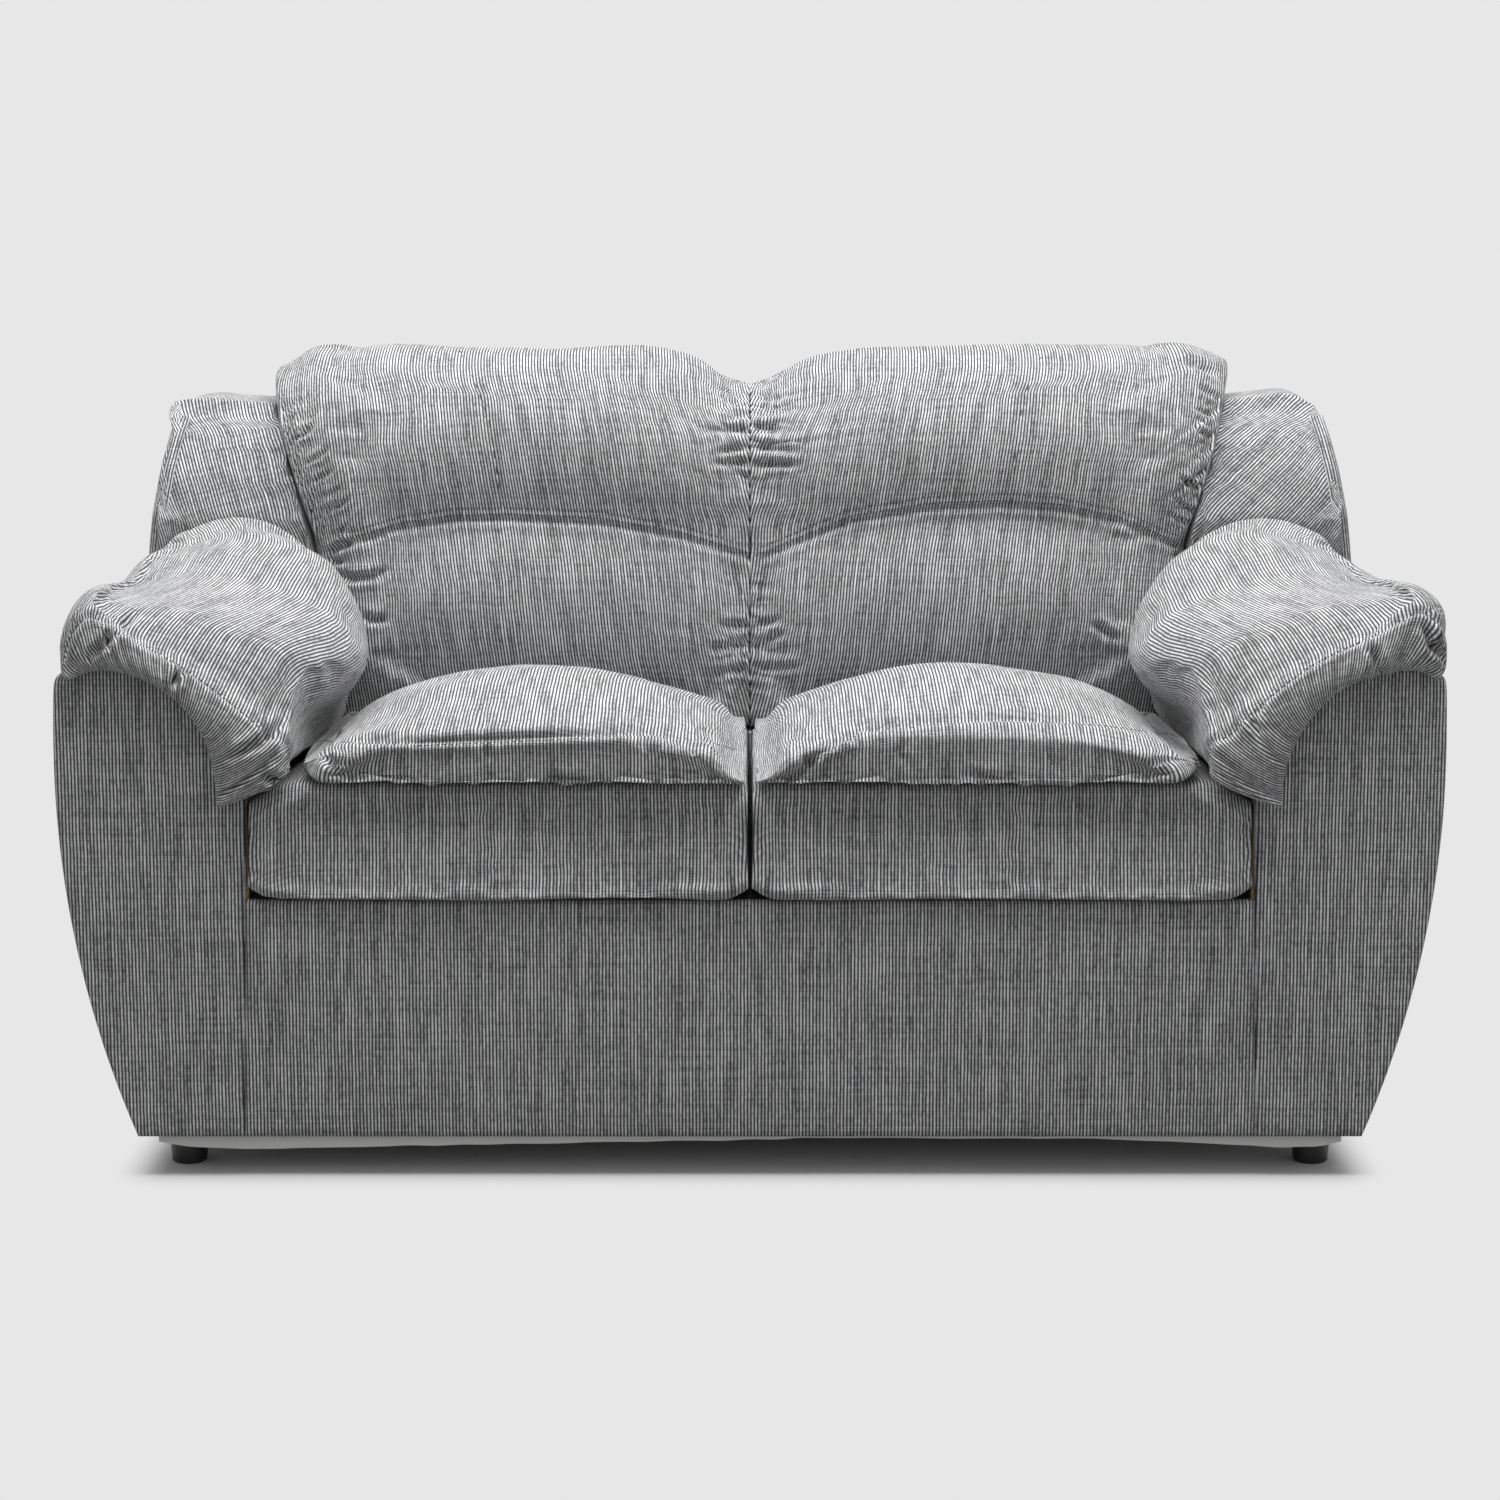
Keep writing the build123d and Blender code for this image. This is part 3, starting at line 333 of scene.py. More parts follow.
def cubic_rows(old: int, new: int, closed: bool) -> Array:
    """The matrix that takes old samples to new ones on smooth curves through them.

    Args:
        old: number of samples.
        new: number wanted.
        closed: whether the last sample is followed by the first.

    Returns:
        The matrix (new, old).
    """
    places = np.arange(new) * (old / new if closed else (old - 1) / (new - 1))
    rows = np.zeros((new, old))
    for k, place in enumerate(places):
        base = int(min(math.floor(place), old - 1 if closed else old - 2))
        t = place - base
        weights = (
            -0.5 * t + t * t - 0.5 * t**3,
            1 - 2.5 * t * t + 1.5 * t**3,
            0.5 * t + 2 * t * t - 1.5 * t**3,
            -0.5 * t * t + 0.5 * t**3,
        )
        for sample, weight in enumerate(weights, base - 1):
            rows[k, sample % old if closed else min(max(sample, 0), old - 1)] += weight
    return rows


# ---- finishes
class NodeTree:
    """Short calls for making shader nodes."""

    def __init__(self, tree: bpy.types.NodeTree) -> None:
        """Keeps the tree that the nodes go into."""
        self.tree = tree

    def add(self, kind: str, **settings: str) -> bpy.types.Node:
        """A new node of this kind with these settings."""
        made = self.tree.nodes.new(kind)
        for key, value in settings.items():
            setattr(made, key, value)
        return made

    def link(self, source: Socket | float | tuple, target: Socket) -> None:
        """Joins an output to an input, or sets the input to a plain value."""
        if isinstance(source, Socket):
            self.tree.links.new(source, target)
        else:
            target.default_value = source

    def joined(self, node: bpy.types.Node, *sources: Socket | float | tuple) -> Socket:
        """The first output of a node whose first inputs come from these sources."""
        for source, target in zip(sources, node.inputs):
            self.link(source, target)
        return node.outputs[0]

    def math(self, operation: str, *values: Socket | float) -> Socket:
        """The output of a math node."""
        return self.joined(self.add("ShaderNodeMath", operation=operation), *values)

    def vector(self, *values: Socket | float) -> Socket:
        """The output of a node that joins three numbers."""
        return self.joined(self.add("ShaderNodeCombineXYZ"), *values)

    def vector_math(self, operation: str, *values: Socket | tuple) -> Socket:
        """The first output of a vector math node."""
        return self.joined(self.add("ShaderNodeVectorMath", operation=operation), *values)

    def clamped(self, value: Socket, low: float, high: float) -> Socket:
        """A value kept between two others."""
        return self.math("MAXIMUM", self.math("MINIMUM", value, high), low)

    def swing(self, turns: Socket) -> Socket:
        """The cosine of a number of whole turns."""
        return self.math("COSINE", self.math("MULTIPLY", turns, 2 * math.pi))

    def noise(self, vector: Socket, scale: float, detail: float = 0.0) -> Socket:
        """The value of a noise texture."""
        made = self.add("ShaderNodeTexNoise")
        self.link(vector, made.inputs["Vector"])
        made.inputs["Scale"].default_value = scale
        made.inputs["Detail"].default_value = detail
        return made.outputs[0]

    def mixed(self, share: Socket, first: Socket, second: Socket) -> Socket:
        """The output of a node that mixes two shaders."""
        return self.joined(self.add("ShaderNodeMixShader"), share, first, second)


@dataclass(frozen=True)
class Finish:
    """What every finish has: a name, and a material that is made once."""

    name: str

    def material(self) -> bpy.types.Material:
        """The finish as a material, made once.

        Returns:
            The material.
        """
        found = bpy.data.materials.get(self.name + LOOK)
        if found:
            return found
        made = bpy.data.materials.new(self.name + LOOK)
        made.use_nodes = True
        self.paint(NodeTree(made.node_tree), made.node_tree.nodes["Principled BSDF"])
        return made

    def paint(self, tree: NodeTree, shader: bpy.types.Node) -> None:
        """Sets up the shader, in each finish's own way."""
        raise NotImplementedError


@dataclass(frozen=True)
class Plain(Finish):
    """A finish of one colour, which may have a grain along X."""

    color: Color
    roughness: float = 0.6
    metallic: float = 0.0
    sheen: float = 0.0
    grain: float = 0.0
    grain_scale: float = 60.0
    grain_stretch: tuple[float, float, float] = (1.0, 8.0, 8.0)
    grain_detail: float = 4.0

    def paint(self, tree: NodeTree, shader: bpy.types.Node) -> None:
        """Sets up the shader.

        Args:
            tree: the material's nodes.
            shader: its shader.
        """
        shader.inputs["Base Color"].default_value = (*self.color, 1)
        shader.inputs["Roughness"].default_value = self.roughness
        shader.inputs["Metallic"].default_value = self.metallic
        shader.inputs["Sheen Weight"].default_value = self.sheen
        if self.grain:
            place = tree.add("ShaderNodeTexCoord").outputs["Object"]
            stretched = tree.vector_math("MULTIPLY", place, self.grain_stretch)
            noise = tree.noise(stretched, self.grain_scale, self.grain_detail)
            tint = tree.add("ShaderNodeVectorMath", operation="SCALE")
            tint.inputs[0].default_value = self.color
            shade = tree.math("MULTIPLY_ADD", noise, self.grain, 1 - self.grain / 2)
            tree.link(shade, tint.inputs["Scale"])
            tree.link(tint.outputs[0], shader.inputs["Base Color"])


@dataclass(frozen=True)
class Weave(Finish):
    """A striped weave: slubby pale warp lines on a dark ground, broken by the weft.

    Each pair of a gain and an offset says how much a pattern adds to the lightness.
    """

    name: str = "upholstery_weave_uv"
    pitch: float = 0.0039
    pick: float = 0.0028
    dark: Color = (0.036, 0.037, 0.040)
    pale: Color = (0.87, 0.875, 0.885)
    wobble: float = 0.0016
    wobble_noise: Pair = (22.0, 2.0)
    rib: Pair = (0.85, 0.52)
    bead: Pair = (0.34, 0.10)
    slub: Pair = (0.65, 0.0)
    streak: Pair = (1.2, -0.54)
    weft: Pair = (0.36, -0.18)
    ground: float = 0.05
    light_range: Pair = (0.12, 1.2)
    slub_apart: float = 7.31
    slub_scale: float = 0.45
    slub_shift: float = 0.6
    streak_apart: float = 3.17
    streak_scale: float = 14.0
    streak_layer: float = 3.0
    weft_scale: float = 9.0
    weft_layer: float = 5.0
    bump: Pair = (0.35, 0.0008)
    gloss: tuple[tuple[str, float], ...] = (
        ("Roughness", 0.95), ("Specular IOR Level", 0.15), ("Sheen Weight", 0.12),
        ("Sheen Roughness", 0.6),
    )

    def shown(self, tree: NodeTree) -> Socket:
        """How much of the pale thread shows at each place of the cloth.

        Args:
            tree: the material's nodes.

        Returns:
            A socket with values from 0 to 1.
        """
        split = tree.add("ShaderNodeSeparateXYZ")
        tree.link(tree.add("ShaderNodeUVMap", uv_map=WEAVE_UV).outputs[0], split.inputs[0])
        across, along = split.outputs[0], split.outputs[1]
        drift = tree.noise(tree.vector(across, along, 0.0), *self.wobble_noise)
        bent = tree.math("MULTIPLY_ADD", drift, self.wobble, across)
        phase = tree.math("DIVIDE", bent, self.pitch)
        index = tree.math("ROUND", phase)
        rib = tree.clamped(tree.math("MULTIPLY_ADD", tree.swing(phase), *self.rib), 0.0, 1.0)
        picks = tree.math("DIVIDE", along, self.pick)
        thread = tree.math("MULTIPLY", index, self.slub_apart)
        slub = tree.noise(tree.vector(thread, picks, 0.0), self.slub_scale)
        shift = tree.math("MULTIPLY_ADD", slub, self.slub_shift, picks)
        bead = tree.math("MULTIPLY_ADD", tree.swing(shift), 0.5, 0.5)
        thread = tree.math("MULTIPLY", index, self.streak_apart)
        along = tree.math("MULTIPLY", along, self.streak_scale)
        streak = tree.noise(tree.vector(thread, along, self.streak_layer), 1.0, 1.0)
        across = tree.math("MULTIPLY", across, self.weft_scale)
        weft = tree.noise(tree.vector(across, picks, self.weft_layer), 1.0)
        light = tree.math("MULTIPLY_ADD", bead, *self.bead)
        for value, share in ((slub, self.slub), (streak, self.streak), (weft, self.weft)):
            light = tree.math("ADD", light, tree.math("MULTIPLY_ADD", value, *share))
        shown = tree.math("MULTIPLY", rib, tree.clamped(light, *self.light_range))
        ground = tree.math("MULTIPLY", weft, self.ground)
        return tree.math("MINIMUM", tree.math("ADD", shown, ground), 1.0)

    def paint(self, tree: NodeTree, shader: bpy.types.Node) -> None:
        """Sets up the shader.

        Args:
            tree: the material's nodes.
            shader: its shader.
        """
        shown = self.shown(tree)
        mix = tree.add("ShaderNodeMix", data_type="RGBA")
        tree.link(shown, mix.inputs[0])
        mix.inputs[6].default_value = (*self.dark, 1)
        mix.inputs[7].default_value = (*self.pale, 1)
        bump = tree.add("ShaderNodeBump")
        bump.inputs["Strength"].default_value, bump.inputs["Distance"].default_value = self.bump
        tree.link(shown, bump.inputs["Height"])
        tree.link(mix.outputs[2], shader.inputs["Base Color"])
        tree.link(bump.outputs[0], shader.inputs["Normal"])
        for name, value in self.gloss:
            shader.inputs[name].default_value = value


WEAVE = Weave()
THREAD = Plain("stitch_thread", (0.045, 0.046, 0.05), 0.8)
DECK = Plain("deck_cloth", (0.022, 0.022, 0.025), 0.9, sheen=0.1)
DUST_CLOTH = Plain("dust_cloth", (0.93, 0.93, 0.92), 0.9)


# ---- shells
@dataclass
class Shell:
    """A closed tube of sections, as a grid of points with its cloth coordinates."""

    grid: Array
    across: Array
    along: Array

    @classmethod
    def measured(cls, grid: Array, middle: int, top: int, lengthwise: bool) -> "Shell":
        """A shell whose cloth coordinates are measured on the grid.

        Args:
            grid: points (sections, steps, 3); each section is closed.
            middle: the section from which distances between sections count.
            top: the step from which distances round a section count.
            lengthwise: whether the stripes run from section to section.

        Returns:
            The shell, its coordinates one column longer than the grid.
        """
        wrapped = np.concatenate([grid, grid[:, :1]], axis=1)
        station, ring = grid_length(wrapped, 0), grid_length(wrapped, 1)
        station -= station[middle]
        ring -= ring[:, top : top + 1]
        return cls(grid, *((ring, station) if lengthwise else (station, ring)))

    def placed(self, grid: Array) -> "Shell":
        """The same cloth on other points."""
        return Shell(grid, self.across, self.along)

    def lifted(self, heights: Array) -> "Shell":
        """The same cloth with each point moved outwards by its own height."""
        return self.placed(self.grid + self.normals() * heights[..., None])

    def on(self, side: Side) -> "Shell":
        """The shell of a side, where this one is the right side's."""
        return self.mirrored() if side.left else self

    def refined(self, sections: int, steps: int) -> "Shell":
        """The same shell with more points on smooth curves through the present ones.

        Args:
            sections: the new number of sections.
            steps: the new number of points in each.

        Returns:
            The finer shell.
        """
        rows = cubic_rows(len(self.grid), sections, False)
        columns = cubic_rows(self.grid.shape[1], steps, True)
        grid = np.tensordot(rows, self.grid, (1, 0))
        grid = np.tensordot(grid, columns, (1, 1)).transpose(0, 2, 1)
        return Shell(grid, *(self._spread(each, rows, steps) for each in (self.across, self.along)))

    def _spread(self, values: Array, rows: Array, steps: int) -> Array:
        """A coordinate on the finer grid."""
        new = np.linspace(0, values.shape[1] - 1, steps + 1)
        return np.stack([np.interp(new, np.arange(values.shape[1]), row) for row in rows @ values])

    def normals(self) -> Array:
        """Unit normals that point outwards.

        Returns:
            Vectors of the grid's shape.
        """
        between = np.gradient(self.grid, axis=0)
        around = np.roll(self.grid, -1, axis=1) - np.roll(self.grid, 1, axis=1)
        cross = np.cross(around, between)
        cross /= np.maximum(np.linalg.norm(cross, axis=2, keepdims=True), TINY)
        centre = self.grid.mean(axis=1, keepdims=True)
        return -cross if ((self.grid - centre) * cross).sum() < 0 else cross

    def mirrored(self) -> "Shell":
        """The same shell on the other side of the middle plane."""
        grid = np.roll(self.grid[:, ::-1], 1, axis=1) * (-1, 1, 1)
        return Shell(grid, self.across[:, ::-1], self.along[:, ::-1])

    def turned(self, angle: float) -> "Shell":
        """The same shell with its stripes turned, as seen from the front.

        Args:
            angle: the turn in radians.

        Returns:
            The shell on the same points.
        """
        wide = self.across[:, :-1] - self.across.mean()
        aside = self.grid[..., 0] - self.grid[..., 0].mean()
        side = np.sign((wide * aside * -self.normals()[..., 1]).sum())
        cosine, sine = math.cos(angle), side * math.sin(angle)
        across = self.across * cosine + self.along * sine
        return Shell(self.grid, across, self.along * cosine - self.across * sine)

    def smoothed(self, times: int, weight: float = 0.5) -> "Shell":
        """The shell with its corners softened.

        Args:
            times: how often each point moves towards the mean of its neighbours.
            weight: how far it moves each time, as a share.

        Returns:
            The softer shell.
        """
        grid = self.grid.copy()
        for _ in range(times):
            mean = (np.roll(grid, 1, axis=1) + np.roll(grid, -1, axis=1)) / 2
            grid = grid + weight * (mean - grid)
            inner = (grid[:-2] + grid[2:]) / 2
            grid[1:-1] += weight * (inner - grid[1:-1])
        return self.placed(grid)


@dataclass(frozen=True)
class Cloth:
    """How a shell swells under pressure."""

    pressure: float = 4.0
    excess: float = 0.03
    reach: float = 0.02
    frames: int = 20
    bending: float = 0.6
    stretch: float = 15.0
    shear: float = 5.0
    mass: float = 0.3
    quality: int = 5

    def swell(self, shell: Shell, held: Array) -> Shell:
        """Swells a shell as cloth.

        Args:
            shell: the starting form.
            held: how firmly each point is held, from 0 to 1, of the grid's shape.

        Returns:
            The swelled shell, with no point moved further than the reach.
        """
        made = bpy.data.meshes.new("swelling")
        quads = tube_quads(np.arange(held.size).reshape(held.shape))
        fill_mesh(made, shell.grid.reshape(-1, 3), quads.reshape(-1), np.full(len(quads), 4))
        piece = linked("swelling", made)
        group = piece.vertex_groups.new(name="held")
        for index, weight in enumerate(held.reshape(-1)):
            if weight > 0:
                group.add([index], float(weight), "REPLACE")
        modifier = piece.modifiers.new("cloth", "CLOTH")
        settings = modifier.settings
        settings.quality = self.quality
        settings.mass = self.mass
        settings.tension_stiffness = self.stretch
        settings.compression_stiffness = self.stretch
        settings.shear_stiffness = self.shear
        settings.bending_stiffness = self.bending
        settings.vertex_group_mass = "held"
        settings.use_pressure = True
        settings.uniform_pressure_force = self.pressure
        settings.shrink_min = -self.excess
        settings.effector_weights.gravity = 0
        modifier.point_cache.frame_start = 1
        modifier.point_cache.frame_end = self.frames
        scene = bpy.context.scene
        for number in range(1, self.frames + 1):
            scene.frame_set(number)
        shown = piece.evaluated_get(bpy.context.evaluated_depsgraph_get())
        points = np.empty(shell.grid.size)
        shown.data.vertices.foreach_get("co", points)
        bpy.data.objects.remove(piece)
        bpy.data.meshes.remove(made)
        scene.frame_set(1)
        moved = points.reshape(shell.grid.shape) - shell.grid
        size = np.linalg.norm(moved, axis=2, keepdims=True)
        moved *= np.minimum(1, self.reach / np.maximum(size, TINY))
        return shell.placed(shell.grid + moved)


# ---- meshes
def linked(name: str, data: bpy.types.ID) -> Piece:
    """A new object with this data, linked into the scene."""
    made = bpy.data.objects.new(name, data)
    bpy.context.scene.collection.objects.link(made)
    return made


def fill_mesh(made: bpy.types.Mesh, points: Array, corners: Array, sizes: Array) -> None:
    """Gives an empty mesh its points and smooth faces.

    Args:
        made: the mesh.
        points: its points (n, 3).
        corners: the points of all faces, one face after another.
        sizes: how many corners each face has.
    """
    made.vertices.add(len(points))
    made.vertices.foreach_set("co", points.astype(np.float32).reshape(-1))
    made.loops.add(len(corners))
    made.loops.foreach_set("vertex_index", corners.astype(np.int32))
    made.polygons.add(len(sizes))
    made.polygons.foreach_set("loop_start", np.r_[0, np.cumsum(sizes)[:-1]].astype(np.int32))
    made.update(calc_edges=True)
    made.shade_smooth()


def grid_quads(index: Array) -> Array:
    """The faces between the rows and columns of a grid of indices."""
    corners = index[:-1, :-1], index[:-1, 1:], index[1:, 1:], index[1:, :-1]
    return np.stack(corners, axis=-1).reshape(-1, 4)


def tube_quads(index: Array) -> Array:
    """The faces between the closed rows of a grid of indices."""
    return grid_quads(np.hstack([index, index[:, :1]]))


def rim_of(grid: Array) -> Array:
    """What lies along the rim of a grid, once round."""
    return np.concatenate([grid[0], grid[1:, -1], grid[-1, ::-1][1:], grid[::-1, 0][1:-1]])


def two_sided(front: Array, rear: Array) -> tuple[Array, Array]:
    """A slab between two grids of points of one shape.

    Args:
        front: the points of its face.
        rear: the points of its back.

    Returns:
        Its points (n, 3) and faces (m, 4).
    """
    index = np.arange(front[..., 0].size).reshape(front.shape[:2])
    border = rim_of(index)
    following = np.roll(border, -1)
    wall = np.stack([following, border, border + index.size, following + index.size], axis=-1)
    quads = grid_quads(index)
    faces = np.vstack([quads, quads[:, ::-1] + index.size, wall])
    return np.vstack([front.reshape(-1, 3), rear.reshape(-1, 3)]), faces


@dataclass(frozen=True)
class Cap:
    """How an end of a shell is closed: a strip between its first and second half."""

    rows: int = 10
    bulge: float = 0.0
    carry: Carry = Carry.NEITHER
    pucker: float = 0.0
    wave: float = 0.02
    seed: int = 0
    roundness: float = 0.6
    pucker_fade: float = 0.12
    pucker_slant: float = 0.25

    def strip(self, loop: Array, outward: Array) -> Array:
        """Points between the two halves of a closed line.

        Args:
            loop: the line's points, an even number.
            outward: the direction of the bulge.

        Returns:
            Points (rows, half - 1, 3): row by row from the first half to the second.
        """
        half = len(loop) // 2
        first, second = loop[1:half], loop[:half:-1]
        shares = np.linspace(0, 1, self.rows + 2)[1:-1, None, None]
        place = np.sin(np.pi * np.arange(1, half) / half)[None, :, None] ** 0.5
        lift = self.bulge * (4 * shares * (1 - shares)) ** self.roundness * place
        if self.pucker:
            seam_second = self.carry is Carry.SECOND
            run = run_length(second if seam_second else first)
            away = (1 - shares if seam_second else shares)[..., 0]
            away = away * np.linalg.norm(second - first, axis=1)
            along = np.broadcast_to(run, away.shape) + self.pucker_slant * away
            ripple = folds(along, 0.5 * away, self.wave, self.seed)[..., None]
            fade = np.clip(np.minimum(shares, 1 - shares) / self.pucker_fade, 0, 1)
            lift = lift + self.pucker * ripple * fade * np.clip(place * 2.5, 0, 1)
        return first * (1 - shares) + second * shares + outward * lift

    def coordinates(self, shell: Shell, end: int, full: Array) -> Array:
        """The cloth coordinates of the cap.

        Args:
            shell: the shell that it closes.
            end: the row of the shell that it joins.
            full: its points, with those that it shares with the shell.

        Returns:
            Coordinates (rows, columns, 2).
        """
        down = grid_length(full, 0)
        if self.carry is Carry.NEITHER:
            return np.stack([down, np.broadcast_to(run_length(full[0]), down.shape)], axis=-1)
        source = np.arange(full.shape[1])
        away = down
        if self.carry is Carry.SECOND:
            source, away = shell.grid.shape[1] - source, down[-1:] - down
        sign = -1 if end == 0 else 1
        across = np.broadcast_to(shell.across[end, source], down.shape)
        return np.stack([across, shell.along[end, source] + sign * away], axis=-1)


def closed_piece(name: str, shell: Shell, caps: tuple[Cap, Cap], finish: Finish) -> Piece:
    """A closed object from a shell.

    Args:
        name: the piece's name.
        shell: its grid and cloth coordinates.
        caps: how its first and last sections are closed.
        finish: its finish.

    Returns:
        The object, linked into the scene.
    """
    grid = shell.grid
    sections, steps = grid.shape[:2]
    half = steps // 2
    index = np.arange(sections * steps).reshape(sections, steps)
    corner = np.arange(sections * (steps + 1)).reshape(sections, steps + 1)
    points, quads, places = [grid.reshape(-1, 3)], [tube_quads(index)], [grid_quads(corner)]
    coordinates = [np.stack([shell.across, shell.along], axis=-1).reshape(-1, 2)]
    made_points, made_places = index.size, corner.size
    for end, cap in ((0, caps[0]), (sections - 1, caps[1])):
        inner = grid[1 if end == 0 else sections - 2].mean(axis=0)
        outward = grid[end].mean(axis=0) - inner
        outward /= max(np.linalg.norm(outward), TINY)
        strip = cap.strip(grid[end], outward)
        ring = index[end]
        rows = np.full((cap.rows + 2, half + 1), -1)
        rows[:, 0], rows[:, half] = ring[0], ring[half]
        rows[0, 1:half], rows[-1, 1:half] = ring[1:half], ring[:half:-1]
        fresh = np.arange(strip[..., 0].size).reshape(strip.shape[:2])
        rows[1:-1, 1:half] = made_points + fresh
        points.append(strip.reshape(-1, 3))
        made_points += fresh.size
        uv = cap.coordinates(shell, end, np.vstack(points)[rows])
        coordinates.append(uv.reshape(-1, 2))
        face = grid_quads(rows)
        place = grid_quads(made_places + np.arange(rows.size).reshape(rows.shape))
        made_places += rows.size
        if end == 0:
            face, place = face[:, ::-1], place[:, ::-1]
        quads.append(face)
        places.append(place)
    table = np.vstack(coordinates)[np.vstack(places)]
    return woven_object(name, np.vstack(points), np.vstack(quads), table, finish)


def woven_object(
    name: str, points: Array, quads: Array, coordinates: Array, finish: Finish
) -> Piece:
    """A smooth object with its cloth coordinates, faces turned outwards.

    Args:
        name: the piece's name.
        points: its points (n, 3).
        quads: its faces (m, 4); a repeated corner makes a triangle.
        coordinates: the cloth coordinates of each face's corners (m, 4, 2).
        finish: its finish.

    Returns:
        The object, linked into the scene.
    """
    kept = quads != np.roll(quads, 1, axis=1)
    sound = kept.sum(axis=1) >= 3
    quads, coordinates, kept = quads[sound], coordinates[sound], kept[sound]
    corners = points[quads[:, :3]]
    volume = np.einsum("ij,ij->i", corners[:, 0], np.cross(corners[:, 1], corners[:, 2])).sum()
    made = bpy.data.meshes.new(name)
    fill_mesh(made, points, quads[kept], kept.sum(axis=1))
    layer = made.uv_layers.new(name=WEAVE_UV)
    layer.data.foreach_set("uv", coordinates[kept].astype(np.float32).reshape(-1))
    if volume < 0:
        made.flip_normals()
    made.validate()
    made.materials.append(finish.material())
    made.set_sharp_from_angle(angle=SHARP)
    log.info("%s: %d points", name, len(points))
    return linked(name, made)


# ---- folds and seams by picture
@dataclass(frozen=True)
class Crease:
    """A fold or groove that follows a line of the photograph, in pixels."""

    path: Pairs
    depth: float
    width: float
    lip: float = 0.5
    taper: float = 0.25
    lip_place: float = 2.2
    lip_width: float = 1.4

    def drop(self, pixels: Array) -> Array:
        """How far the cloth sinks at each place.

        Args:
            pixels: places in the photograph.

        Returns:
            Metres, above zero where the cloth sinks.
        """
        nearest = np.full(pixels.shape[:-1], FAR)
        share = np.zeros_like(nearest)
        line = np.array(self.path, dtype=float)
        lengths = run_length(line)
        for k, step in enumerate(np.diff(line, axis=0)):
            t = np.clip(((pixels - line[k]) @ step) / (step @ step), 0, 1)
            distance = np.linalg.norm(pixels - line[k] - t[..., None] * step, axis=-1)
            closer = distance < nearest
            nearest = np.where(closer, distance, nearest)
            place = (lengths[k] + t * (lengths[k + 1] - lengths[k])) / lengths[-1]
            share = np.where(closer, place, share)
        fade = np.clip(np.minimum(share, 1 - share) / self.taper, 0, 1)
        cut = np.exp(-((nearest / self.width) ** 2))
        beyond = (nearest - self.lip_place * self.width) / (self.lip_width * self.width)
        return self.depth * fade * (cut - self.lip * 0.5 * np.exp(-(beyond**2)))


@dataclass(frozen=True)
class Pull:
    """Draws the cloth near a place of the photograph to one side, in pixels.

    Only what lies in front of the plane Y = ahead_of is drawn.
    """

    place: Pair
    shift: Pair
    reach: float
    ahead_of: float = 9.0

    def move(self, pixels: Array) -> Array:
        """How far each place goes across and down, in pixels."""
        near = np.exp(-(((pixels - self.place) ** 2).sum(axis=-1)) / self.reach**2)
        return near[..., None] * np.array(self.shift)


def points_of(piece: Piece) -> tuple[Array, Array]:
    """The points of a piece and their normals.

    Args:
        piece: the piece.

    Returns:
        Points (n, 3) and unit normals (n, 3).
    """
    mesh = piece.data
    points, normals = np.empty(len(mesh.vertices) * 3), np.empty(len(mesh.vertices) * 3)
    mesh.vertices.foreach_get("co", points)
    mesh.vertex_normals.foreach_get("vector", normals)
    return points.reshape(-1, 3), normals.reshape(-1, 3)


def facing(points: Array, normals: Array) -> Array:
    """How squarely each point faces the camera of the photograph."""
    toward = np.array((0, -VIEW.distance, VIEW.height)) - points
    return (normals * toward).sum(axis=-1) / np.linalg.norm(toward, axis=-1)


PRESSED_FROM, PRESSED_SPAN = 0.15, 0.25  # how squarely cloth faces the camera to take a crease


def pressed(piece: Piece, creases: tuple[Crease, ...], pulls: tuple[Pull, ...] = ()) -> None:
    """Presses creases into the side of a piece that the photograph shows.

    Args:
        piece: the piece.
        creases: the lines to press in.
        pulls: the places to draw aside first, on all sides.
    """
    points, normals = points_of(piece)
    pixels = VIEW.pixels(points)
    scale = (points[:, 1:2] + VIEW.distance) / VIEW.focal_px
    for pull in pulls:
        points[:, ::2] += pull.move(pixels) * (1, -1) * scale * (points[:, 1:2] < pull.ahead_of)
    pixels = VIEW.pixels(points)
    seen = ramp(facing(points, normals), PRESSED_FROM, PRESSED_SPAN)
    total = np.zeros(len(points))
    for crease in creases:
        total += crease.drop(pixels)
    points -= normals * (total * seen)[:, None]
    piece.data.vertices.foreach_set("co", points.astype(np.float32).reshape(-1))
    piece.data.update()


# ---- stitches
TRACE_STEP = 3.0  # pixels between the points of a traced line
TRACE_SEEN = 0.1  # how squarely cloth faces the camera to carry a traced line
TRACE_NEAR = 4  # how many points of the cloth each of them follows
TRACE_SOFT = 0.2  # pixels added to a distance before it weighs
TRACE_ROUNDS = 4


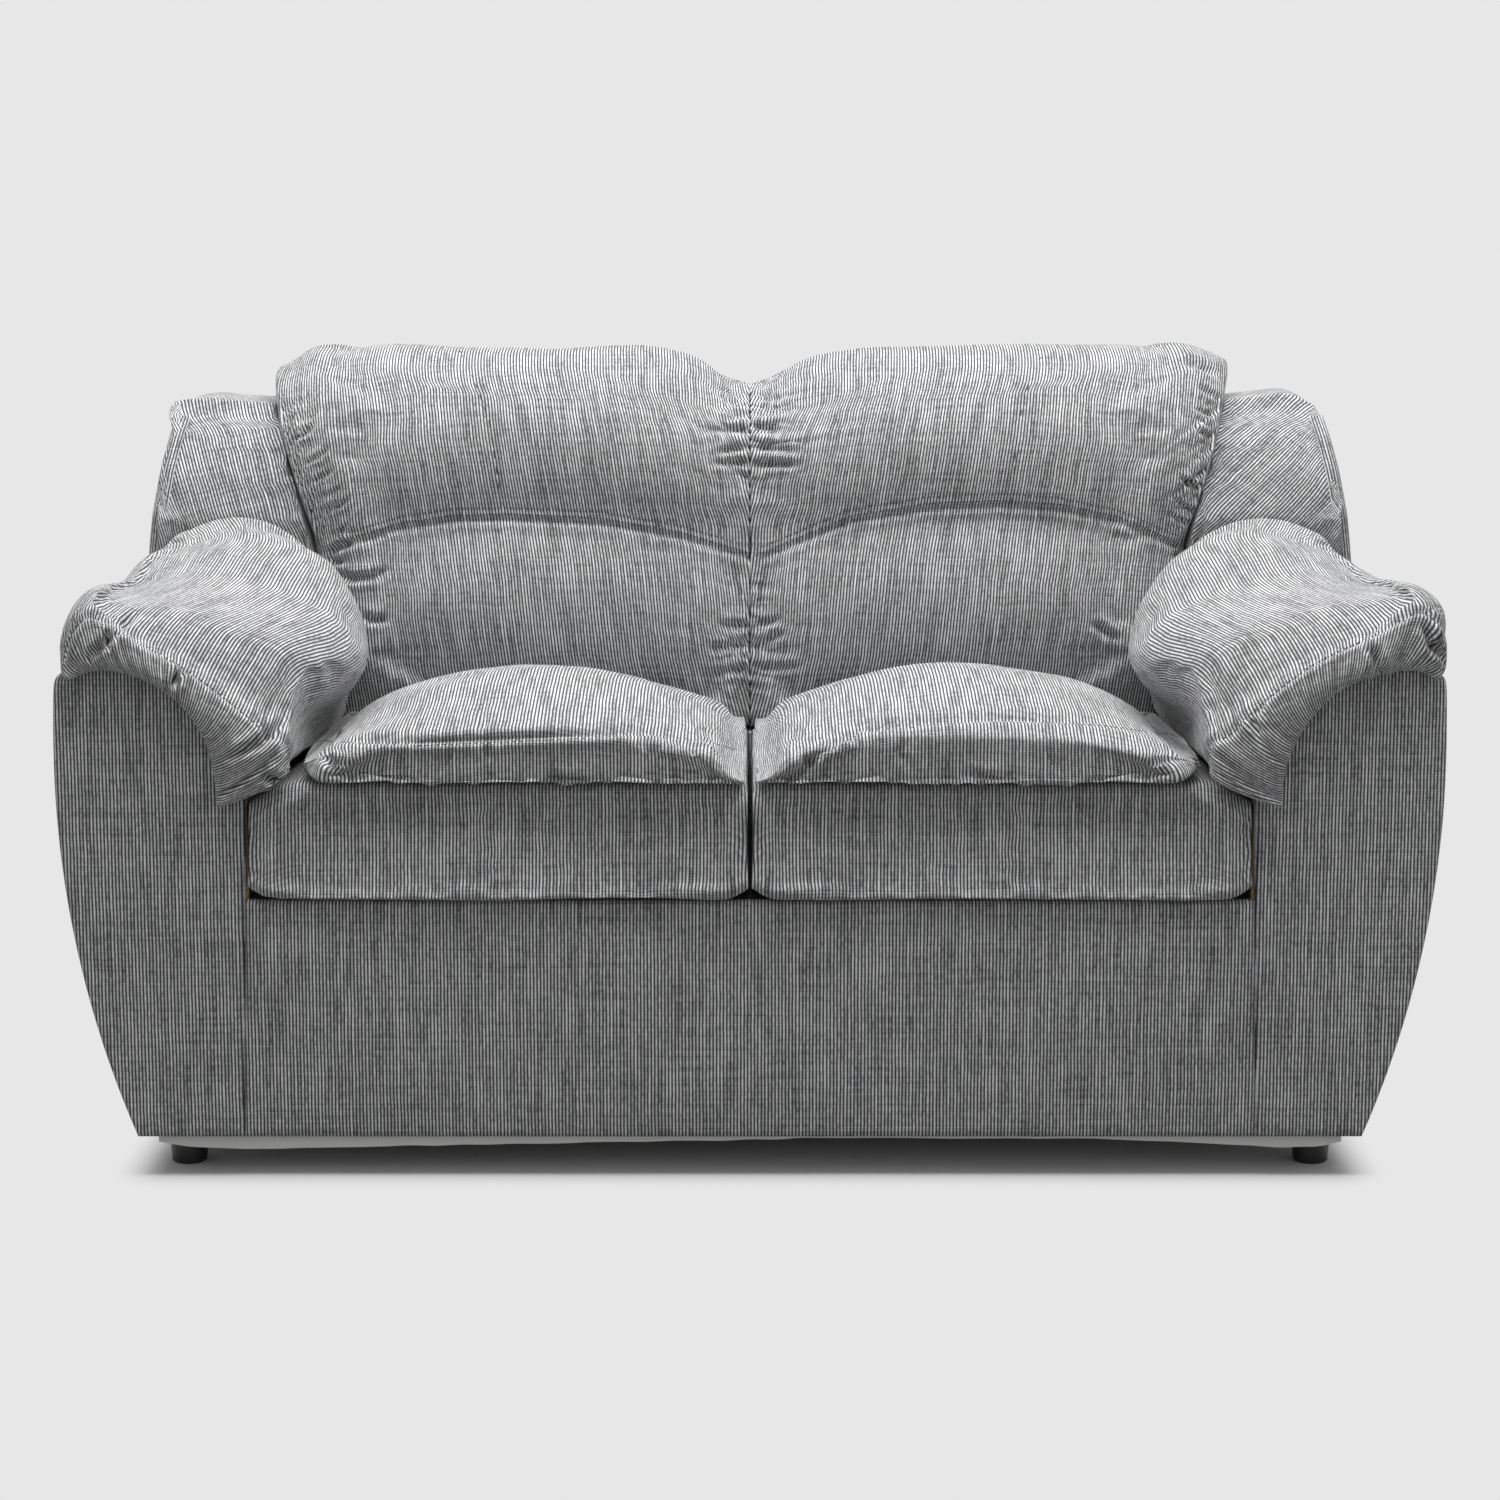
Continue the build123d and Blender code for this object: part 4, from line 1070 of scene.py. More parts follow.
@dataclass
class StitchRun:
    """Stitches along a line, as instances of one thread loop."""

    name: str
    points: Array
    spacing: float = 0.0075
    length: float = 0.0048
    radius: float = 0.0006

    def build(self, body: str) -> None:
        """Makes the stitches as one mesh and lets them ride on a body.

        Args:
            body: the body's name.
        """
        curve = bpy.data.curves.new(self.name + "_line", "CURVE")
        curve.dimensions = "3D"
        spline = curve.splines.new("POLY")
        spline.points.add(len(self.points) - 1)
        spline.points.foreach_set("co", np.c_[self.points, np.ones(len(self.points))].reshape(-1))
        line = linked(self.name + "_line", curve)
        modifier = line.modifiers.new("stitches", "NODES")
        modifier.node_group = stitch_tree()
        sockets = {
            item.name: item.identifier
            for item in modifier.node_group.interface.items_tree
            if item.item_type == "SOCKET" and item.in_out == "INPUT"
        }
        modifier[sockets["Spacing"]] = self.spacing
        modifier[sockets["Length"]] = self.length
        modifier[sockets["Radius"]] = self.radius
        modifier[sockets["Thread"]] = THREAD.material()
        line.update_tag()
        bpy.context.view_layer.update()
        shown = line.evaluated_get(bpy.context.evaluated_depsgraph_get())
        mesh = bpy.data.meshes.new_from_object(shown)
        mesh.name = self.name
        bpy.data.objects.remove(line)
        piece = linked(self.name, mesh)
        if not mesh.materials:
            mesh.materials.append(THREAD.material())
        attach(piece, body)


def stitch_tree() -> bpy.types.NodeTree:
    """The geometry nodes that set stitches along a curve, made once.

    Returns:
        The tree, with the inputs Spacing, Length, Radius and Thread.
    """
    found = bpy.data.node_groups.get("stitches")
    if found:
        return found
    tree = bpy.data.node_groups.new("stitches", "GeometryNodeTree")
    face = tree.interface
    face.new_socket("Geometry", in_out="INPUT", socket_type="NodeSocketGeometry")
    for name in ("Spacing", "Length", "Radius"):
        socket = face.new_socket(name, in_out="INPUT", socket_type="NodeSocketFloat")
        socket.default_value = getattr(StitchRun, name.lower())
    face.new_socket("Thread", in_out="INPUT", socket_type="NodeSocketMaterial")
    face.new_socket("Geometry", in_out="OUTPUT", socket_type="NodeSocketGeometry")
    add, link = tree.nodes.new, tree.links.new
    inputs, outputs = add("NodeGroupInput"), add("NodeGroupOutput")
    points = add("GeometryNodeCurveToPoints")
    points.mode = "LENGTH"
    link(inputs.outputs["Geometry"], points.inputs["Curve"])
    link(inputs.outputs["Spacing"], points.inputs["Length"])
    ball = add("GeometryNodeMeshUVSphere")
    for name, value in (("Segments", 6), ("Rings", 4), ("Radius", 1.0)):
        ball.inputs[name].default_value = value
    half, size = add("ShaderNodeMath"), add("ShaderNodeCombineXYZ")
    half.operation = "MULTIPLY"
    half.inputs[1].default_value = 0.5
    link(inputs.outputs["Length"], half.inputs[0])
    link(inputs.outputs["Radius"], size.inputs["X"])
    link(inputs.outputs["Radius"], size.inputs["Y"])
    link(half.outputs[0], size.inputs["Z"])
    place = add("GeometryNodeInstanceOnPoints")
    link(points.outputs["Points"], place.inputs["Points"])
    link(ball.outputs["Mesh"], place.inputs["Instance"])
    link(points.outputs["Rotation"], place.inputs["Rotation"])
    link(size.outputs[0], place.inputs["Scale"])
    real, paint = add("GeometryNodeRealizeInstances"), add("GeometryNodeSetMaterial")
    link(place.outputs["Instances"], real.inputs[0])
    link(real.outputs[0], paint.inputs["Geometry"])
    link(inputs.outputs["Thread"], paint.inputs["Material"])
    link(paint.outputs[0], outputs.inputs[0])
    return tree


def traced(piece: Piece, path: Pairs, lift: float = 0.0004) -> Array:
    """The line on a piece that shows along a line of the photograph.

    Args:
        piece: the piece.
        path: the line in pixels.
        lift: how far it stands off the cloth.

    Returns:
        Points (n, 3).
    """
    line = np.array(path, dtype=float)
    lengths = run_length(line)
    wanted = np.arange(0, lengths[-1], TRACE_STEP)
    points, normals = points_of(piece)
    seen = facing(points, normals) > TRACE_SEEN
    pixels = VIEW.pixels(points)[seen]
    places = (points + normals * lift)[seen]
    found = []
    for spot in np.stack([np.interp(wanted, lengths, line[:, k]) for k in range(2)], axis=1):
        distance = np.linalg.norm(pixels - spot, axis=1)
        near = np.argpartition(distance, TRACE_NEAR)[:TRACE_NEAR]
        weight = 1 / (distance[near] + TRACE_SOFT)
        found.append((places[near] * weight[:, None]).sum(axis=0) / weight.sum())
    result = np.array(found)
    for _ in range(TRACE_ROUNDS):
        result[1:-1] = (result[:-2] + 2 * result[1:-1] + result[2:]) / 4
    return result


# ---- what the soft pieces share
def lowered(path: Pairs, drop: float) -> Pairs:
    """A line of the photograph moved down by some pixels."""
    return tuple((x, y + drop) for x, y in path)


@dataclass(frozen=True)
class Gather:
    """Gathers that run off from an end seam of a shell, between two heights.

    The seed is added to the piece's own.
    """

    far_end: bool
    depth: float
    reach: float
    wave: float
    seed: int
    low: float = -1.0
    high: float = 9.0
    slant: float = 0.0
    soft: float = 0.03
    rise: float = 0.004
    least_reach: float = 0.008
    unequal: float = 0.7

    def press(self, shell: Shell, seed: int) -> Shell:
        """The shell with the gathers.

        Args:
            shell: the shell without them.
            seed: the piece's own seed.

        Returns:
            The shell on its new points.
        """
        seed += self.seed
        away = grid_length(shell.grid, 0)
        away = away[-1:] - away if self.far_end else away
        along = grid_length(shell.grid, 1) + self.slant * away
        z = shell.grid[..., 2]
        window = ramp(z, self.low, self.soft) * ramp(-z, -self.high, self.soft)
        varied = lattice_noise(along / (1.3 * self.wave), 0 * along, seed + 3)
        reach = self.reach * (1 + self.unequal * varied)
        height = self.depth * folds(along, away, self.wave, seed) * ramp(away, 0, self.rise)
        return shell.lifted(height * np.exp(-away / np.maximum(reach, self.least_reach)) * window)


def gathered(shell: Shell, gathers: tuple[Gather, ...], seed: int) -> Shell:
    """The shell with all of these gathers."""
    for gather in gathers:
        shell = gather.press(shell, seed)
    return shell


def uneven(shell: Shell, depth: float, size: float, seed: int) -> Shell:
    """The shell with the broad unevenness of stuffing.

    Args:
        shell: the even shell.
        depth: how far the unevenness reaches.
        size: how wide its lumps are.
        seed: picks the pattern.

    Returns:
        The shell on its new points.
    """
    x, y, z = np.moveaxis(shell.grid / size, -1, 0)
    value = lattice_noise(x + 5, z + y, seed)
    value += 0.5 * lattice_noise(2.1 * x, 2.1 * (z - y), seed + 1)
    return shell.lifted(depth * value)


def keep_aside(shell: Shell, side: Side) -> None:
    """Keeps a shell on its own side of the middle plane."""
    limit, place = (np.minimum, -CLEAR) if side.left else (np.maximum, CLEAR)
    shell.grid[..., 0] = limit(shell.grid[..., 0], place)


def settled(piece: Piece, body: str, nodes: tuple[str, ...]) -> None:
    """Attaches a padded piece to its body and hides the nodes that it stands for.

    Args:
        piece: the piece.
        body: the body that it rides on.
        nodes: the nodes that it stands for.
    """
    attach(piece, body)
    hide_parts(*nodes)


# ---- back cushions
@dataclass(frozen=True)
class BackLook:
    """What sets one back cushion apart in the photograph, in pixels.

    Small tucks start on the outer edge and reach inwards by a least to a most.
    """

    seed: int
    seam: Pairs
    dart: Pairs
    folds: tuple[Pairs, ...]
    edge: Pairs
    tuck_reach: Pair
    inward: int
    pulls: tuple[Pull, ...]


BACK_LOOKS = {
    Side.LEFT: BackLook(
        seed=40,
        seam=((338, 547), (400, 528), (455, 520), (510, 519), (600, 523), (680, 537), (757, 560)),
        dart=((461, 352), (478, 390), (490, 424), (503, 517)),
        folds=(
            ((328, 556), (334, 562), (345, 560)),
            ((335, 572), (352, 579), (372, 577), (392, 568)),
            ((360, 614), (372, 620), (388, 619)), ((352, 542), (338, 548), (330, 556)),
        ),
        edge=((292, 425), (304, 462), (322, 505), (338, 540)),
        tuck_reach=(16, 38),
        inward=1,
        pulls=(
            Pull((284, 352), (4, 4), 20), Pull((640, 340), (0, -3), 70),
            Pull((380, 345), (0, -3), 40),
        ),
    ),
    Side.RIGHT: BackLook(
        seed=80,
        seam=(
            (757, 560), (850, 521), (930, 508), (1000, 505), (1060, 509), (1120, 522), (1186, 551),
        ),
        dart=((1041, 358), (1027, 390), (1018, 425), (1011, 503)),
        folds=(
            ((1172, 552), (1184, 560), (1190, 566)), ((1092, 622), (1108, 634), (1122, 640)),
            ((1220, 376), (1202, 366), (1178, 360)), ((1150, 600), (1164, 610), (1178, 606)),
        ),
        edge=((1217, 392), (1208, 440), (1196, 500), (1186, 545)),
        tuck_reach=(10, 26),
        inward=-1,
        pulls=(
            Pull((1214, 366), (4, -2), 20), Pull((1000, 330), (0, -4), 110),
            Pull((1130, 345), (0, -2), 40),
        ),
    ),
}


@dataclass
class BackCushions:
    """The two back cushions, with an arched seam, a dart and gathered ends.

    A pair of a start and a span says where a change of form sets in and how soon it is full.
    """

    gap: float = 0.003
    width: float = 0.469
    bottom: float = 0.437
    lean: float = math.radians(19)
    ends: Pair = (0.004, 0.996)
    sections: int = 44
    counts: Counts = (4, 64, 24, 44)
    marks: Pairs = ((-1, -3), (1, -3), (0, 1), (-1, 0.2))
    top_step: int = 36
    fine: tuple[int, int] = (190, 440)
    corner_drop: float = 0.004
    corner_in: float = 0.010
    middle_drop: float = 0.036
    foot_out: float = 0.044
    high: Pair = (0.80, 0.12)
    low: Pair = (0.66, 0.12)
    corner: Pair = (0.82, 0.18)
    foot: Pair = (0.4, 0.6)
    middle_share: float = 0.11
    held_foot: int = 2
    held_top: int = 4
    held_end: tuple[float, int] = (0.2, 8)
    straight_sections: int = 7
    cloth: Cloth = Cloth(pressure=4, excess=0.03, reach=0.018)
    gathers: tuple[Gather, ...] = (
        Gather(True, 0.0060, reach=0.034, wave=0.015, seed=1, low=0.67, high=0.875, slant=0.7),
        Gather(False, 0.0060, reach=0.040, wave=0.020, seed=3, low=0.72, high=0.90, slant=-0.2),
        Gather(False, 0.0048, reach=0.036, wave=0.018, seed=4, low=0.46, high=0.66),
    )
    edge_tucks: int = 13
    middle_tucks: Pairs = (
        (752, 398), (751, 414), (752, 430), (751, 447),
        (752, 463), (752, 626), (753, 645), (753, 668),
    )
    stitch_rows: Pair = (-5.0, -11.5)

    def shape(self) -> Shell:
        """The swollen shell of the right cushion.

        Returns:
            The shell, from its end at the middle plane outwards.
        """
        points, triangles = node_triangles("back_cushion_right")
        loops = []
        for place in np.linspace(*self.ends, self.sections):
            lean = self.lean * place
            normal = np.array((math.cos(lean), 0, -math.sin(lean)))
            origin = np.array((self.gap + place * self.width, 0, self.bottom))
            axes = np.array(((0, -1, 0), (math.sin(lean), 0, math.cos(lean))))
            loop = section(points, triangles, origin, normal)
            loops.append(even_loop(loop, axes, self.marks, self.counts))
        grid = self.eased(np.array(loops))
        shell = Shell.measured(grid, self.sections // 2, self.top_step, False).smoothed(3)
        held = np.zeros(shell.grid.shape[:2])
        held[:, : self.counts[0] + self.held_foot] = 1
        held[:, sum(self.counts[:3]) - self.held_top :] = 1
        held[0] = 1
        least, rows = self.held_end
        held[-rows:] = np.maximum(held[-rows:], np.linspace(least, 1, rows)[:, None])
        shell = self.cloth.swell(shell, held)
        inner = np.clip(1 - np.arange(self.sections) / self.straight_sections, 0, 1)[:, None] ** 2
        shell.grid[..., 0] += inner * (self.gap / 4 - shell.grid[:1, :, 0])
        return shell.smoothed(1, 0.3)

    def eased(self, grid: Array) -> Array:
        """The sections with rounded top corners and a fuller foot.

        Args:
            grid: points (sections, steps, 3), which are changed.

        Returns:
            The same grid.
        """
        place = np.linspace(0, 1, self.sections)[:, None]
        high = ramp(grid[..., 2], *self.high)
        low = ramp(-grid[..., 2], -self.low[0], self.low[1])
        outer = ramp(place, *self.corner) ** 2
        inner = ramp(-place, -self.middle_share, self.middle_share) ** 1.6 * high
        grid[..., 2] -= self.corner_drop * outer * high + self.middle_drop * inner
        out = self.foot_out * ramp(place, *self.foot) * low
        grid[..., 0] += out - self.corner_in * outer * high
        return grid

    def tucks(self, look: BackLook) -> list[Crease]:
        """The small tucks at both ends of one cushion.

        Args:
            look: its side of the photograph.

        Returns:
            The outer tucks and then the inner ones.
        """
        rng = np.random.default_rng(look.seed)
        tucks = []
        steps = np.linspace(0, 1, len(look.edge))
        for spot in np.sort(rng.uniform(0, 1, self.edge_tucks)):
            x, y = (np.interp(spot, steps, places) for places in zip(*look.edge))
            reach = look.inward * rng.uniform(*look.tuck_reach)
            rise = abs(reach) * rng.uniform(0.35, 0.9)
            start, end = (x - 0.15 * reach, y + 3), (x + reach, y - rise)
            path = (start, (x + 0.5 * reach, y - 0.3 * rise), end)
            depth = rng.uniform(0.0025, 0.0050)
            tucks.append(Crease(path, depth, width=2.1, lip=0.9, taper=0.3))
        for x, y in self.middle_tucks:
            reach = -look.inward * rng.uniform(26, 58)
            fall = rng.uniform(-0.45, 0.25) * abs(reach)
            path = ((x, y), (x + 0.5 * reach, y + 0.35 * fall), (x + reach, y + fall))
            tucks.append(Crease(path, depth=0.0056, width=3.4, lip=0.9, taper=0.3))
        return tucks

    def creases(self, look: BackLook) -> tuple[Crease, ...]:
        """The seam, the dart, the folds and the tucks of one cushion.

        Args:
            look: its side of the photograph.

        Returns:
            The creases.
        """
        return (
            Crease(look.seam, depth=0.0042, width=3.4, lip=1.0, taper=0.02),
            Crease(lowered(look.seam, -9.0), depth=0.0016, width=3.0, lip=0.6, taper=0.02),
            Crease(look.dart, depth=0.0024, width=4.0, lip=0.6, taper=0.12),
            *(Crease(path, depth=0.0075, width=3.6, lip=0.9) for path in look.folds),
            *self.tucks(look),
        )

    def build(self) -> None:
        """Makes both cushions and their stitches."""
        right = self.shape().refined(*self.fine)
        for side in Side:
            look = BACK_LOOKS[side]
            shell = uneven(right.on(side), depth=0.0022, size=0.11, seed=look.seed)
            shell = gathered(shell, self.gathers, look.seed)
            keep_aside(shell, side)
            caps = (Cap(rows=8), Cap(rows=14, bulge=0.012))
            piece = closed_piece(f"stuffed_back_{side}", shell, caps, WEAVE)
            pressed(piece, self.creases(look), look.pulls)
            settled(piece, "frame", (f"back_cushion_{side}",))
            lines = [traced(piece, lowered(look.seam, drop)) for drop in self.stitch_rows]
            for number, line in enumerate(lines):
                row = StitchRun(f"back_seam_stitches_{number}_{side}", line, 0.0068, 0.0042)
                row.build("frame")
            line = traced(piece, look.dart)
            StitchRun(f"back_dart_stitches_{side}", line, 0.019, 0.011, 0.0007).build("frame")


# ---- seat cushions
@dataclass(frozen=True)
class SeatLook:
    """What sets one seat cushion apart in the photograph.

    The band's top seam is given in millimetres of its own plane, the rest in pixels.
    """

    seed: int
    band: Pairs
    tucks: tuple[Pairs, ...]
    pull: Pull


SEAT_LOOKS = {
    Side.LEFT: SeatLook(
        seed=140,
        band=(
            (-485, 512), (-430, 507), (-366, 505), (-255, 510), (-122, 516), (-55, 511), (-12, 500),
        ),
        tucks=(
            ((480, 700), (484, 722), (478, 738)), ((487, 742), (489, 762)),
            ((545, 778), (590, 784)), ((318, 745), (340, 775)), ((690, 742), (700, 768)),
            ((726, 742), (740, 748)), ((640, 734), (646, 752)),
        ),
        pull=Pull((318, 768), (-8, 2), 36),
    ),
    Side.RIGHT: SeatLook(
        seed=180,
        band=((40, 455), (75, 490), (122, 519), (200, 528), (277, 532), (388, 528), (499, 513)),
        tucks=(
            ((905, 712), (912, 732)), ((906, 738), (900, 752), (908, 770)),
            ((960, 772), (1010, 784)), ((1180, 745), (1215, 775)), ((800, 752), (815, 772)),
            ((1196, 728), (1222, 744)), ((846, 726), (856, 748)),
        ),
        pull=Pull((1196, 768), (10, 2), 36),
    ),
}


@dataclass
class SeatCushions:
    """The two loose seat cushions: a sewn box under a pillow top."""

    sections: int = 40
    box_ends: Pair = (0.0015, 0.9985)
    box_counts: Counts = (40, 14, 40, 14)
    box_marks: Pairs = ((-1, -1), (1, -1), (1, 1), (-1, 1))
    box_top_step: int = 54
    box_skin: float = 0.003
    box_lean: float = 0.018
    box_lean_up: Pair = (0.335, 0.11)
    box_lean_ahead: Pair = (0.30, 0.12)
    box_held_below: float = 0.4
    box_free_from: int = 6
    box_fine: tuple[int, int] = (120, 288)
    box_cloth: Cloth = Cloth(pressure=5, excess=0.02, reach=0.011)
    box_gathers: tuple[Gather, ...] = (
        Gather(True, 0.0026, reach=0.024, wave=0.02, seed=31),
        Gather(False, 0.0020, reach=0.018, wave=0.02, seed=35),
    )
    pillow_ends: Pair = (0.003, 0.997)
    pillow_counts: Counts = (40, 10, 40, 10)
    pillow_marks: Pairs = ((-1, -2), (1, -2), (1, 0.9), (-1, 0.9))
    pillow_top_step: int = 50
    pillow_spread: Pair = (0.001, 0.004)
    pillow_fine: tuple[int, int] = (190, 420)
    pillow_cloth: Cloth = Cloth(pressure=4, excess=0.03, reach=0.012)
    pillow_gathers: tuple[Gather, ...] = (
        Gather(True, 0.0034, reach=0.030, wave=0.024, seed=1, low=0.47),
        Gather(False, 0.0040, reach=0.036, wave=0.022, seed=2, low=0.47),
    )
    band_y: float = -0.452
    stitch_drop: float = 4.5

    def box(self) -> Shell:
        """The swollen shell of the right box.

        Returns:
            The shell, from its inner end outwards.
        """
        shares = np.linspace(*self.box_ends, self.sections)
        grid = sliced("seat_foam_core_right", 0, shares, self.box_marks, self.box_counts)
        shell = Shell.measured(grid, self.sections // 2, self.box_top_step, False)
        shell = shell.smoothed(1, 0.3)
        shell = shell.lifted(np.full(shell.grid.shape[:2], self.box_skin))
        shell.grid[0, :, 0] -= self.box_skin
        shell.grid[-1, :, 0] += self.box_skin
        high = ramp(shell.grid[..., 2], *self.box_lean_up)
        ahead = ramp(-shell.grid[..., 1], *self.box_lean_ahead)
        shell.grid[..., 1] += self.box_lean * high * ahead
        held = np.ones(shell.grid.shape[:2])
        below = self.box_counts[0]
        held[1:-1, below + 1 : sum(self.box_counts[:2]) - 1] = 0
        held[1:-1, self.box_free_from : below - 1] = self.box_held_below
        return self.box_cloth.swell(shell, held)

    def pillow(self) -> Shell:
        """The swollen shell of the right pillow top.

        Returns:
            The shell, from its inner end outwards.
        """
        shares = np.linspace(*self.pillow_ends, self.sections)
        grid = sliced("seat_pillow_right", 0, shares, self.pillow_marks, self.pillow_counts)
        shell = Shell.measured(grid, self.sections // 2, self.pillow_top_step, False)
        shell = shell.smoothed(2, 0.4)
        low, high = shell.grid[..., 0].min(), shell.grid[..., 0].max()
        held = np.zeros(shell.grid.shape[:2])
        held[:, : self.pillow_counts[0] + 1] = 1
        held[0] = held[-1] = 1
        shell = self.pillow_cloth.swell(shell, held)
        inward, outward = self.pillow_spread
        shell.grid[..., 0] = np.clip(shell.grid[..., 0], low - inward, high + outward)
        return shell

    def build(self) -> None:
        """Makes both cushions and their stitches."""
        box = self.box().refined(*self.box_fine)
        pillow = self.pillow().refined(*self.pillow_fine)
        for side in Side:
            look = SEAT_LOOKS[side]
            body = f"seat_{side}"
            shell = uneven(box.on(side), depth=0.0014, size=0.10, seed=21 + side.left)
            shell = gathered(shell, self.box_gathers, int(side.left))
            keep_aside(shell, side)
            piece = closed_piece(f"sewn_box_{side}", shell, (Cap(rows=8), Cap(rows=8)), WEAVE)
            settled(piece, body, (f"seat_box_cover_{side}", f"seat_foam_core_{side}"))
            shell = uneven(pillow.on(side), depth=0.0025, size=0.10, seed=look.seed)
            shell = gathered(shell, self.pillow_gathers, look.seed)
            keep_aside(shell, side)
            caps = (Cap(rows=8, bulge=0.002), Cap(rows=8, bulge=0.003))
            piece = closed_piece(f"pillow_top_{side}", shell, caps, WEAVE)
            places = np.array([(x / 1000, self.band_y, z / 1000) for x, z in look.band])
            band = tuple(map(tuple, VIEW.pixels(places)))
            seam = Crease(band, depth=0.0052, width=3.6, lip=1.0, taper=0.02)
            tucks = (Crease(tuck, 0.0046, width=4.2, lip=0.9, taper=0.35) for tuck in look.tucks)
            pressed(piece, (seam, *tucks), (look.pull,))
            settled(piece, body, (f"seat_pillow_{side}",))
            line = traced(piece, lowered(band, self.stitch_drop))
            StitchRun(f"pillow_band_stitches_{side}", line, 0.007, 0.0042, 0.0005).build(body)


# ---- arm pillows
@dataclass(frozen=True)
class ArmLook:
    """What sets one arm pillow apart in the photograph, in pixels.

    The seam between its top and its band follows the given points of its front section.
    """

    seed: int
    folds: tuple[Pairs, ...]
    ridge: Pairs
    pulls: tuple[Pull, ...]
    seam_from: int
    seam_to: int


BAND_FRONT = -0.437  # the plane in front of which the lower corners of the bands are drawn
ARM_LOOKS = {
    Side.LEFT: ArmLook(
        seed=240,
        folds=(
            ((140, 612), (128, 622), (112, 636), (98, 650), (86, 662)),
            ((226, 759), (246, 750), (262, 742), (286, 718)),
            ((172, 690), (178, 676), (188, 668)), ((262, 774), (274, 780), (284, 784)),
        ),
        ridge=((318, 735), (322, 690), (312, 640)),
        pulls=(
            Pull((112, 584), (4, 3), 40), Pull((66, 652), (0, 16), 30, BAND_FRONT),
            Pull((130, 652), (0, 6), 40, BAND_FRONT), Pull((354, 664), (14, 0), 46),
        ),
        seam_from=14,
        seam_to=192,
    ),
    Side.RIGHT: ArmLook(
        seed=280,
        folds=(
            ((1438, 604), (1446, 616), (1450, 642)), ((1366, 640), (1376, 658), (1382, 684)),
            ((1262, 700), (1254, 722), (1262, 734)), ((1424, 624), (1432, 646), (1446, 660)),
        ),
        ridge=((1222, 738), (1230, 665), (1262, 605)),
        pulls=(
            Pull((1440, 612), (10, -6), 36), Pull((1360, 554), (-1, 9), 30),
            Pull((1446, 656), (5, 16), 34, BAND_FRONT),
            Pull((1390, 655), (0, 8), 40, BAND_FRONT), Pull((1146, 664), (-17, 0), 46),
        ),
        seam_from=208,
        seam_to=386,
    ),
}


